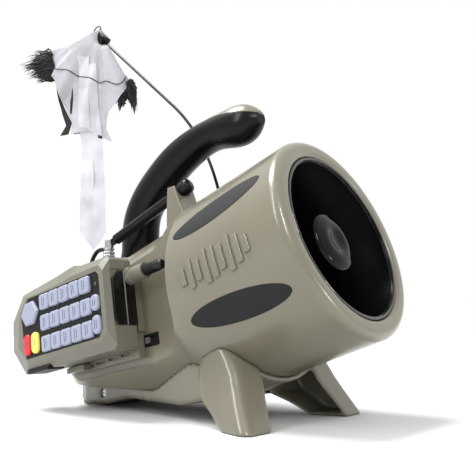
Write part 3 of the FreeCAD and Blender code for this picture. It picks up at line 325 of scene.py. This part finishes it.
def lathe(points, matrix, count=96):
    """Vertices and faces of a closed (along, radius) outline turned about the frame's X axis."""
    verts, faces = [], []
    n = len(points)
    for k in range(count):
        a = math.tau * k / count
        verts += place(matrix, [(u, r * math.cos(a), r * math.sin(a)) for u, r in points])
    for k in range(count):
        for i in range(n):
            a, b = k * n + i, k * n + (i + 1) % n
            c, d = ((k + 1) % count) * n + (i + 1) % n, ((k + 1) % count) * n + i
            faces.append((a, b, c, d))
    return verts, faces


def grid_faces(rows, columns, wrap=False):
    """Faces between rows of points, closed round each row if wrapped."""
    faces = []
    for i in range(rows - 1):
        for j in range(columns if wrap else columns - 1):
            k = (j + 1) % columns
            faces.append((i * columns + j, i * columns + k, (i + 1) * columns + k, (i + 1) * columns + j))
    return faces


def smooth_line(points, per):
    """Points along a smooth line through the given ones."""
    out = []
    pts = [Vector(p) for p in points]
    for i in range(len(pts) - 1):
        a, b = pts[max(i - 1, 0)], pts[i]
        c, d = pts[i + 1], pts[min(i + 2, len(pts) - 1)]
        for s in range(per):
            t = s / per
            square = 2 * a - 5 * b + 4 * c - d
            cube = 3 * b - a - 3 * c + d
            out.append(0.5 * ((2 * b) + (c - a) * t + square * t * t + cube * t ** 3))
    out.append(pts[-1])
    return out


def arc_points(centre, radius, start, end, count):
    """Points along an arc, its start and end in degrees."""
    return [
        (centre[0] + radius * math.cos(math.radians(start + (end - start) * i / count)),
         centre[1] + radius * math.sin(math.radians(start + (end - start) * i / count)))
        for i in range(count + 1)
    ]


# ------------------------------------------------------------------ horn: plug, bell and gasket

# the plug's outline: a dish in the middle, a flat rim, a rounded edge and the hollow behind
plug = [(-11.6, 0.02), (-11.5, 3.0), (-11.0, 6.0), (-10.0, 9.0), (-9.4, 11.5), (-9.3, 14.0), (-9.7, 17.0)]
plug += [(-10.5, 19.5)]
plug += arc_points((-16.2, 21.0), 5.0, 10, 90, 8)
plug += [(-66.0, 26.0), (-66.0, 24.0), (-18.0, 24.0), (-14.5, 18.0), (-13.6, 9.0), (-13.4, 0.02)]
piece("horn_dome", *lathe(plug, BARREL, 128), "caller", "horn_black", ["horn_bullet"], M["plug_gloss"])

curve = smooth_line([(-4.5, 69.0, 0), (-12, 66.0, 0), (-34.3, 54.6, 0), (-68.6, 42.0, 0), (-98, 36, 0)], 10)
bell = [(p.x, p.y) for p in curve] + [(p.x, p.y + 2.4) for p in reversed(curve)]
bell += [(-4.5, 80.8)]
# the bell's inside takes the darker copy of the horn's black: painted shade
piece("horn_flare", *lathe(bell, BARREL, 160), "caller", "horn_black", ["horn_bell"], M["horn_inner"])

gasket = arc_points((-2.9, 68.2), 1.5, -40, 200, 14) + [(-4.4, 66.6), (-4.4, 69.7)]
piece("mouth_ring", *lathe(gasket, BARREL, 160), "caller", "horn_black", ["mouth_gasket"], M["ring_gloss"])

# ------------------------------------------------------------------ stand, fork and base with softened edges


def softened(node_name, voxel, rounds, body, slot):
    """A copy of a CAD piece remeshed finely and relaxed, so its edges are rounded as moulded plastic is."""
    source = NODES[node_name]
    obj = bpy.data.objects.new(node_name + "_moulded", source.data.copy())
    bpy.context.scene.collection.objects.link(obj)
    mod = obj.modifiers.new("fine", "REMESH")
    mod.mode = "VOXEL"
    mod.voxel_size = voxel * MM
    mod = obj.modifiers.new("relax", "SMOOTH")
    mod.factor = 0.6
    mod.iterations = rounds
    apply_modifiers(obj)
    obj.data.materials.clear()
    obj.data.materials.append(M[slot])
    for face in obj.data.polygons:
        face.use_smooth = True
        face.material_index = 0
    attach(obj, body)
    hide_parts(node_name)


softened("front_stand", 1.1, 14, "caller", "olive_shell")
softened("aerial_fork", 0.6, 8, "caller", "olive_shell")
softened("rear_base", 1.2, 8, "caller", "olive_shell")

# ------------------------------------------------------------------ raised bars on the barrel's right side

BAR_PITCH = 8.1
BAR_ROOT, BAR_SHOULDER, BAR_TOP = 85.0, 86.2, 86.9
half_angles = [4.2, 7.2, 9.0, 6.2, 8.2, 9.0, 5.4, 7.6, 4.4]
for number, half in enumerate(half_angles):
    front = -33.5 - number * BAR_PITCH
    section = [
        (front, BAR_ROOT), (front, BAR_SHOULDER), (front - 0.7, BAR_TOP), (front - 4.9, BAR_TOP),
        (front - 5.6, BAR_SHOULDER), (front - 5.6, BAR_ROOT),
    ]
    rows, columns = [], 9
    last = (len(section) - 1) * columns
    for u, radius in section:
        line = []
        for k in range(columns):
            angle = math.radians(-1.0 - half + 2 * half * k / (columns - 1))
            line.append((u, -radius * math.cos(angle), radius * math.sin(angle)))
        rows.append(line)
    verts = place(BARREL, [spot for line in rows for spot in line])
    faces = grid_faces(len(rows), columns)
    faces += [(last + k + 1, last + k, k, k + 1) for k in range(columns - 1)]
    faces += [tuple(range(0, last + 1, columns)), tuple(range(columns - 1, last + columns, columns))]
    piece(f"raised_bar_{number + 1}", verts, faces, "caller", "olive_shell", bevel=0.0003)

# ------------------------------------------------------------------ nuts and washers on the aerial post

POST_FOOT = (-244.9, -39.0, 0)
POST = GROUND @ Matrix.Translation(POST_FOOT) @ Matrix.Rotation(math.radians(-90), 4, "Y")
POST_BORE = 4.45
POST_RINGS = [
    ("post_washer", 141.6, 142.6, 6.6, 48),
    ("post_nut", 142.7, 146.6, 6.3, 6),
    ("post_lock_nut", 147.0, 149.6, 6.0, 6),
    ("post_collar", 151.6, 153.0, 5.2, 48),
]
for name, low, high, radius, count in POST_RINGS:
    ring = [(low, POST_BORE), (low, radius), (high, radius), (high, POST_BORE)]
    piece(name, *lathe(ring, POST, count), "caller", "bright_metal", bevel=0.0002)

# ------------------------------------------------------------------ remote details


def slab(frame_matrix, low, high):
    """A block in a local frame, corner to corner."""
    corners = [(x, y, z) for x in (low[0], high[0]) for y in (low[1], high[1]) for z in (low[2], high[2])]
    faces = [(0, 1, 3, 2), (4, 6, 7, 5), (0, 4, 5, 1), (2, 3, 7, 6), (0, 2, 6, 4), (1, 5, 7, 3)]
    return place(frame_matrix, corners), faces


MARK_TOP, MARK_BASE = -2.34, -2.1
MARK_APART, MARK_HALF_WIDTH = 1.3, 0.35


def marking(name, body, x, z, half):
    """Two thin raised lines along a key, in place of its printing."""
    verts, faces = [], []
    for step, reach in ((-MARK_APART, half), (MARK_APART, half * 0.8)):
        low = (x + step - MARK_HALF_WIDTH, MARK_TOP, z - reach)
        high = (x + step + MARK_HALF_WIDTH, MARK_BASE, z + reach)
        more, sides = slab(REMOTE, low, high)
        faces += [tuple(k + len(verts) for k in side) for side in sides]
        verts += more
    piece(name, verts, faces, body, "dark_plastic", material=M["mark_grey"])


KEY_PITCH = 14.9
for row_name, height in (("top", 19.2), ("middle", 0.4), ("bottom", -18.6)):
    for number in range(5):
        name = f"{row_name}_{number + 1}"
        marking(f"mark_{name}", f"key_{name}", -22.9 + number * KEY_PITCH, height, 4.6)
OTHER_KEYS = [
    ("key_round", 49.3, 1.6, 2.6), ("key_oval", 49.3, -16.6, 4.2), ("key_red", -53.0, -14.9, 4.6),
    ("key_yellow", -40.6, -14.9, 4.6),
]
for label, x, z, half in OTHER_KEYS:
    marking(f"mark_{label}", label, x, z, half)

# a small lens at the panel's upper corner
lens = [(-0.3, 0.02), (-0.3, 1.0), (0.0, 1.5), (0.9, 1.5), (0.9, 0.02)]
LENS_PLACE = (50.6, 0, 17.4)
LENS = REMOTE @ Matrix.Translation(LENS_PLACE) @ Matrix.Rotation(math.radians(90), 4, "Z")
piece("panel_lens", *lathe(lens, LENS, 32), "remote", "dark_plastic", material=M["lens_grey"])


def pane(name, corners, thickness, slot, stands_for=()):
    """A flat plate on the remote's end, its outline in the remote's depth and height."""
    n = len(corners)
    verts = place(REMOTE, [(x, y, z) for x in (END_FACE, END_FACE + thickness) for y, z in corners])
    faces = [tuple(range(n)), tuple(range(2 * n - 1, n - 1, -1))]
    faces += [(k, (k + 1) % n, (k + 1) % n + n, k + n) for k in range(n)]
    piece(name, verts, faces, "remote", slot, stands_for, bevel=0.0004)


END_FACE = 62.2
BOTTOM, TOP = -19.3, 26.2
FRONT_PANE = [(7.2, -14.5), (10.2, BOTTOM), (19.3, BOTTOM), (19.3, TOP), (13.4, TOP), (7.2, 19.5)]
REAR_PANE = [(20.6, BOTTOM), (30.8, BOTTOM), (30.8, 12.6), (25.0, 14.3), (20.6, 17.3)]
pane("window_front", FRONT_PANE, 1.9, "window_black", ["remote_window"])
pane("window_rear", REAR_PANE, 1.9, "window_black")
pane("window_rib", [(19.4, BOTTOM), (20.5, BOTTOM), (20.5, TOP), (19.4, TOP)], 2.1, "olive_remote")

# the stub aerial's outline: knurled grip, neck and rounded tip
GRIP, GROOVE, NECK = 4.8, 4.1, 4.2
stub = [(0.1, 0.02), (0.1, GRIP)]
for ring in range(6):
    start = 1.6 + ring * 2.1
    stub += [(start, GRIP), (start + 0.4, GROOVE), (start + 0.9, GROOVE), (start + 1.3, GRIP)]
stub += [(15.4, GRIP), (16.0, NECK), (19.0, 4.1)]
stub += [
    (19.0 + 2.5 * math.sin(math.radians(a)), 1.6 + 2.5 * math.cos(math.radians(a))) for a in range(15, 91, 15)
]
stub += [(21.5, 0.02)]
STUB_PLACE = (83.9, 27, 22.5)
STUB = REMOTE @ Matrix.Translation(STUB_PLACE)
piece("stub_aerial", *lathe(stub, STUB, 48), "remote", "black_plastic", ["remote_aerial"], M["wand_dark"])

# ------------------------------------------------------------------ decoy: hood, streamers, ribbon and fur

random.seed(7)
# the decoy's frame: millimetres from the top of the hood at the clip, its X axis across the hood
turn = math.radians(39.7)
DECOY_TOP = (-0.2141, 0.0420, 0.43714)
DECOY = Matrix([
    [math.cos(turn) * MM, -math.sin(turn) * MM, 0, DECOY_TOP[0]],
    [math.sin(turn) * MM, math.cos(turn) * MM, 0, DECOY_TOP[1]],
    [0, 0, MM, DECOY_TOP[2]],
    [0, 0, 0, 1],
])
HOOD = [
    (-10.1, 13.4), (-8.1, 9.9), (-2.7, 5.4), (0.5, -6), (0.2, -12.8), (10.8, -31.5), (21.6, -49.2),
    (30.9, -60.7), (24.9, -74.2), (15.2, -89.6), (4.1, -101.6), (1.9, -112.3), (1.1, -125.5), (9.3, -142.5),
    (-3.6, -134.7), (-8.9, -129.4), (-30.3, -130.7), (-42.3, -131.4), (-41, -117.5), (-47.9, -104.3),
    (-56.3, -87), (-62.1, -72.2), (-65.1, -61.4), (-69.2, -56), (-66.4, -47.8), (-71.6, -32.8),
    (-74.6, -24.6), (-77.3, -21.8), (-65.9, -17.7), (-46.8, -12.2), (-29.1, -0.5), (-19, 6.5),
]
STRIP_LEFT = [
    (-37.7, -28.7), (-24.2, -26.7), (-22.6, -56), (-19.4, -96.3), (-16.9, -130.4), (-13.5, -177),
    (-11.7, -225), (-9.6, -279), (-14.5, -271), (-27.1, -256.8), (-27.5, -209.6), (-27.1, -161.4),
    (-30.8, -130.4), (-33, -96.3),
]
STRIP_RIGHT = [
    (-23.1, -39.7), (-13.5, -38.3), (-12.3, -69.5), (-9.5, -96.3), (-3.6, -130.4), (-1.3, -161.4),
    (3.5, -209.6), (5.9, -256.8), (-5.6, -274), (-9.4, -279), (-11.2, -253.7), (-11.5, -225.5),
    (-13.3, -177.6), (-16.7, -130.4), (-18.8, -96), (-22, -69),
]
RIBBON = [
    (-61.4, -73.5), (-59.1, -80.3), (-53.4, -95), (-47.8, -105.6), (-41.2, -117.5), (-45.1, -132.3),
    (-56, -134), (-49.1, -120.2), (-55.5, -104.3), (-59.3, -89.6),
]
# where the folds spread from, and how much larger than its outline a folded sheet is cut
APEX = (-10.0, 16.0)
FOLD_SPARE = 1.04


def smooth_step(low, high, value):
    t = min(1.0, max(0.0, (value - low) / (high - low)))
    return t * t * (3 - 2 * t)


def folds(x, z, phase):
    """How far the hood stands forward or back: folds that fan out and deepen away from the clip."""
    dx, dz = x - APEX[0], APEX[1] - z
    away = math.hypot(dx, dz)
    angle = math.atan2(dx, dz)
    depth = 5.0 * smooth_step(8, 95, away)
    wave = math.sin(13 * angle + phase + 1.1 * math.sin(5 * angle + phase))
    fine = math.sin(31 * angle + 2 * phase) * 0.25
    rumple = noise.noise(Vector((x * 0.045, z * 0.03, phase))) * 3.4 * smooth_step(5, 60, away)
    crease = noise.ridged_multi_fractal(Vector((x * 0.035, z * 0.028, phase)), 0.9, 2.1, 4, 0.9, 2.0)
    gripped = 11.0 * (1 - smooth_step(5, 18, math.hypot(x + 5, z - 1)))
    return depth * (wave + fine) + rumple - 1.5 * crease * smooth_step(8, 45, away) + gripped


def hang(x, z, phase):
    """A strip's own slow twist and curl as it hangs."""
    return 2.2 * math.sin(z / 23 + phase) + 1.2 * math.sin(z / 9.5 + 2 * phase + x / 9)


def cut_sheet(outline, spacing, height_of):
    """Vertices and faces of a cut sheet, its outline in the decoy's plane and its relief across it."""
    ring = []
    for (x0, z0), (x1, z1) in zip(outline, outline[1:] + outline[:1]):
        steps = max(1, round(math.hypot(x1 - x0, z1 - z0) / spacing))
        ring += [Vector((x0 + (x1 - x0) * k / steps, z0 + (z1 - z0) * k / steps)) for k in range(steps)]
    edge = len(ring)
    xs, zs = [v.x for v in ring], [v.y for v in ring]
    inner = []
    z = min(zs)
    while z < max(zs):
        x = min(xs)
        while x < max(xs):
            shift_x = random.uniform(-0.2, 0.2) * spacing
            spot = Vector((x + shift_x, z + random.uniform(-0.2, 0.2) * spacing))
            if min((spot - v).length for v in ring) > spacing * 0.6:
                inner.append(spot)
            x += spacing
        z += spacing
    loop = [(i, (i + 1) % edge) for i in range(edge)]
    flat, _, faces, *_ = delaunay_2d_cdt(ring + inner, loop, [], 1, 1e-5)
    return place(DECOY, [(v.x, height_of(v.x, v.y), v.y) for v in flat]), [tuple(f) for f in faces]


def lay_sheet(name, outline, spacing, height_of, slot, thickness, material=None, stands_for=()):
    """A thin sheet piece on the decoy; the size it was cut to is worked out but not used."""
    verts, faces = cut_sheet(outline, spacing, height_of)
    obj = piece(name, verts, faces, "decoy", slot, stands_for, material, sharp=80, thicken=thickness * MM)
    area = sum(face.area for face in obj.data.polygons) / 2
    spread = (max(x for x, _ in outline) - min(x for x, _ in outline)) * MM * FOLD_SPARE
    drop = (max(z for _, z in outline) - min(z for _, z in outline)) * MM * FOLD_SPARE
    spread = min(max(spread, area / drop + 0.001), area / (0.6 * drop))


def tube_piece(name, points, radius, body, slot, sides):
    """A round bar along points given in metres, closed at both ends."""
    verts, faces = [], []
    side = Vector((0, 0, 1))
    for i, spot in enumerate(points):
        along = (points[min(i + 1, len(points) - 1)] - points[max(i - 1, 0)]).normalized()
        side = side - along * side.dot(along)
        side = side.normalized() if side.length > 1e-6 else along.orthogonal().normalized()
        across = along.cross(side)
        for k in range(sides):
            a = math.tau * k / sides
            verts.append(spot + (side * math.cos(a) + across * math.sin(a)) * radius * MM)
    faces += grid_faces(len(points), sides, wrap=True)
    faces.append(tuple(range(sides)))
    faces.append(tuple((len(points) - 1) * sides + k for k in range(sides)))
    piece(name, verts, faces, body, slot, sharp=60)


FRONT_PHASE, BACK_PHASE = 0.6, 2.4


def on_hood(offset):
    """The relief of a sheet that lies along the hood's front layer."""
    return lambda x, z: folds(x, z, FRONT_PHASE) + offset


def back_of_hood(x, z):
    """The relief of the hood's back layer, its folds shallower and out of step with the front's."""
    return folds(x, z, BACK_PHASE) * 0.6 + 5.0


lay_sheet("hood_front", HOOD, 2.6, on_hood(-2.2), "cloth_grey", 0.35, stands_for=["decoy_cloth"])
HOOD_BACK = [(x * 0.97 - 0.6, z * 0.985 + 0.2) for x, z in HOOD]
lay_sheet("hood_back", HOOD_BACK, 3.4, back_of_hood, "cloth_grey", 0.35)


def strip_height(phase):
    """The relief of a strip that lies on the hood and hangs loose below it."""
    def height_of(x, z):
        loose = smooth_step(-118, -150, z) if z < -118 else 0.0
        return on_hood(-3.6)(x, z) * (1 - loose) + hang(x, z, phase) * loose
    return height_of


lay_sheet("streamer_left", STRIP_LEFT, 3.2, strip_height(0.4), "film_white", 0.2,
          stands_for=["decoy_streamers"])
lay_sheet("streamer_right", STRIP_RIGHT, 3.2, strip_height(2.1), "film_white", 0.2)
SLIT = [(-44, -68.1), (-42.4, -87), (-42.8, -104.3), (-45.0, -104.3), (-46.0, -87)]
TIP = [(-9.2, -128.0), (-6.0, -128.0), (-3.0, -136.6), (-8.8, -135.6)]
for name, outline in (("ribbon_in_slit", SLIT), ("ribbon_tip", TIP)):
    verts, faces = cut_sheet(outline, 2.0, on_hood(-3.1))
    piece(name, verts, faces, "decoy", "fur_black", (), M["ribbon_black"], 80, 0.2 * MM)
lay_sheet("edge_ribbon", RIBBON, 2.4, on_hood(-3.1), "fur_black", 0.3, M["ribbon_black"])

binding = [
    (-64.5, -48.2), (-55.5, -48.5), (-45.1, -50.8), (-37.3, -53.3), (-25.6, -56.7), (-15.2, -60.7),
    (-6.2, -62.8), (1.6, -63.8), (17.1, -68.8), (25, -53.6),
]
line = smooth_line([(x, 0, z) for x, z in binding], 5)
along_hood = place(DECOY, [(p.x, on_hood(-4.3)(p.x, p.z), p.z) for p in line])
tube_piece("hood_binding", along_hood, 0.55, "decoy", "fur_black", 6)
loop = smooth_line(
    [(-19.1, 0, 7.8), (-16.6, -1, 11.4), (-13.0, -2, 13.6), (-10.6, -2.5, 12.6), (-10.2, -2, 9.6)], 6
)
tube_piece("hood_loop", place(DECOY, loop), 0.7, "decoy", "black_plastic", 8)


def tuft(name, roots, tips, count, width, stands_for=()):
    """A bundle of tapering hairs from a root line out to ragged tips."""
    verts, faces = [], []
    for _ in range(count):
        t = random.random()
        span = t * (len(roots) - 1)
        i = min(int(span), len(roots) - 2)
        f = span - i
        root = Vector((roots[i][0] + (roots[i + 1][0] - roots[i][0]) * f, random.uniform(-5, 5),
                       roots[i][1] + (roots[i + 1][1] - roots[i][1]) * f))
        pick = min(len(tips) - 1, max(0, round(t * (len(tips) - 1) + random.gauss(0, 0.9))))
        reach = random.uniform(0.45, 1.0)
        tip = Vector((tips[pick][0], 0, tips[pick][1]))
        tip = root.lerp(tip, reach)
        tip.y = random.uniform(-8, 8)
        tip += Vector((random.gauss(0, 1.6), 0, random.gauss(0, 1.6)))
        sag = Vector((random.gauss(0, 2.5), random.gauss(0, 2), random.gauss(0, 2.5)))
        start = len(verts)
        steps = 5
        for s in range(steps + 1):
            u = s / steps
            spot = root.lerp(tip, u) + sag * math.sin(math.pi * u)
            along = (tip - root).normalized()
            side = along.cross(Vector((0, 1, 0))).normalized()
            half = width * (1 - 0.93 * u ** 1.5) * 0.5
            for dx, dy in ((-half, 0.0), (half, 0.0), (0.0, -half * 0.8)):
                verts.append(DECOY @ (spot + side * dx + Vector((0, dy, 0))))
        for s in range(steps):
            for k in range(3):
                a, b = start + s * 3 + k, start + s * 3 + (k + 1) % 3
                faces.append((a, b, b + 3, a + 3))
        faces += [(start, start + 1, start + 2), tuple(start + steps * 3 + k for k in range(3))]
    piece(name, verts, faces, "decoy", "fur_black", stands_for, sharp=50)


FUR_LEFT = [
    (-71, -22), (-79, -22), (-90, -27), (-97, -33), (-92, -36), (-98, -43), (-89, -44), (-93, -51),
    (-82, -50), (-79, -57), (-74, -54), (-69, -56), (-66, -48), (-70, -34),
]
FUR_RIGHT = [
    (27, -57), (33, -60), (38.8, -68.2), (37.6, -73), (39.3, -88.3), (36.6, -105), (33.1, -92.3), (29, -85),
    (25.2, -82.3), (21.5, -89.6), (16.8, -101), (17.2, -92.3), (21, -80), (23, -70),
]


def fur_left_relief(x, z):
    """The relief of the dark fabric that the left tuft grows from."""
    return folds(x, z, FRONT_PHASE) * 0.5 - 1.0


def fur_right_relief(x, z):
    """The relief of the dark fabric that the right tuft grows from."""
    return 1.5 * math.sin(x / 4 + z / 9) + 1.0


lay_sheet("fur_left_root", FUR_LEFT, 2.6, fur_left_relief, "fur_black", 0.8)
lay_sheet("fur_right_root", FUR_RIGHT, 2.6, fur_right_relief, "fur_black", 0.8)
LEFT_TIPS = [
    (-88.8, -24.6), (-98.9, -29.4), (-112.4, -41), (-99.9, -35.5), (-105.7, -46.5), (-95.3, -47.8),
    (-101.3, -56), (-83.6, -50.5), (-92.2, -59.3), (-82.1, -55.3), (-75.5, -59.8), (-70.6, -54.6),
]
RIGHT_TIPS = [
    (38.8, -68.2), (37.6, -74.2), (39.3, -88.3), (36.6, -105), (34.1, -96.3), (30, -88), (25.2, -84.3),
    (20.3, -92), (16.8, -101), (15.5, -92),
]
tuft("fur_left", [(-73, -22), (-69, -33), (-65, -46), (-66, -56)], LEFT_TIPS, 520, 2.4, ["decoy_fur"])
tuft("fur_right", [(30, -58), (29, -66), (26, -74), (20, -84)], RIGHT_TIPS, 170, 2.2)

# ------------------------------------------------------------------ aerial lead

LEAD = [
    (-249.2, -39.0, 152.0), (-259.0, -39.6, 154.0), (-268.0, -40.2, 147.0), (-272.0, -40.6, 135.0),
    (-268.0, -41.0, 121.0),
]
curve_data = bpy.data.curves.new("aerial_lead_cord", "CURVE")
curve_data.dimensions = "3D"
spline = curve_data.splines.new("NURBS")
spline.points.add(len(LEAD) - 1)
for point, spot in zip(spline.points, LEAD):
    point.co = (*(GROUND @ Vector(spot)), 1)
spline.order_u = 3
spline.use_endpoint_u = True
curve_data.bevel_depth = 0.0021
curve_data.bevel_resolution = 6
curve_data.resolution_u = 16
curve_data.use_fill_caps = True
lead = bpy.data.objects.new("aerial_lead_cord", curve_data)
bpy.context.scene.collection.objects.link(lead)
curve_data.materials.append(M["black_plastic"])
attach(lead, "caller")
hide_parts("aerial_lead")

# ------------------------------------------------------------------ camera, light and floor

camera = bpy.data.objects.new("camera", bpy.data.cameras.new("camera"))
bpy.context.scene.collection.objects.link(camera)
look = Vector((-0.6314, 0.7595, 0.1566)).normalized()
up = Vector((0.100, -0.120, 0.988))
right = look.cross(up).normalized()
up = right.cross(look).normalized()
eye = (0.3795, -0.4112, 0.0592)
camera.matrix_world = Matrix([[right[i], up[i], -look[i], eye[i]] for i in range(3)] + [[0, 0, 0, 1]])
camera.data.lens = 45.57
camera.data.sensor_width = 36.0
camera.data.clip_start = 0.01
bpy.context.scene.camera = camera

floor_z = CAD_BOX[0][2]
SIDE = 12.0
mesh = bpy.data.meshes.new("studio_floor")
corners = [(-SIDE, -SIDE, floor_z), (SIDE, -SIDE, floor_z), (SIDE, SIDE, floor_z), (-SIDE, SIDE, floor_z)]
mesh.from_pydata(corners, [], [(0, 1, 2, 3)])
floor = bpy.data.objects.new("studio_floor", mesh)
bpy.context.scene.collection.objects.link(floor)
floor_mat, nodes, links, shader = new_material("floor_paper")
shader.inputs["Base Color"].default_value = (0.62, 0.62, 0.62, 1)
shader.inputs["Roughness"].default_value = 1.0
shader.inputs["Specular IOR Level"].default_value = 0.0
mesh.materials.append(floor_mat)

world = bpy.data.worlds.new("studio")
world.use_nodes = True
world.node_tree.nodes["Background"].inputs["Color"].default_value = (1, 1, 1, 1)
world.node_tree.nodes["Background"].inputs["Strength"].default_value = 1.0
bpy.context.scene.world = world
bpy.context.scene.view_settings.view_transform = "Standard"


def softbox(name, spot, aim, size, power):
    """A rectangular lamp aimed at a point."""
    light = bpy.data.lights.new(name, "AREA")
    light.shape = "RECTANGLE"
    light.size, light.size_y = size
    light.energy = power
    obj = bpy.data.objects.new(name, light)
    obj.location = spot
    way = (Vector(aim) - Vector(spot)).normalized()
    obj.rotation_euler = way.to_track_quat("-Z", "Y").to_euler()
    bpy.context.scene.collection.objects.link(obj)


sun = bpy.data.lights.new("key_sun", "SUN")
sun.energy = 4.4
sun.angle = math.radians(26)
sun_lamp = bpy.data.objects.new("key_sun", sun)
sun_lamp.rotation_euler = Vector((0.42, 0.22, -0.98)).to_track_quat("-Z", "Y").to_euler()
bpy.context.scene.collection.objects.link(sun_lamp)
softbox("strip", (-0.15, -0.9, 0.75), (0.0, 0, 0.12), (0.12, 0.7), 5)
softbox("glint", (1.05, 0.30, 0.18), (0.14, 0, 0.12), (0.05, 0.16), 1.5)
softbox("front_strip", (0.75, -0.55, 0.72), (0.13, 0, 0.12), (0.07, 0.35), 4.0)
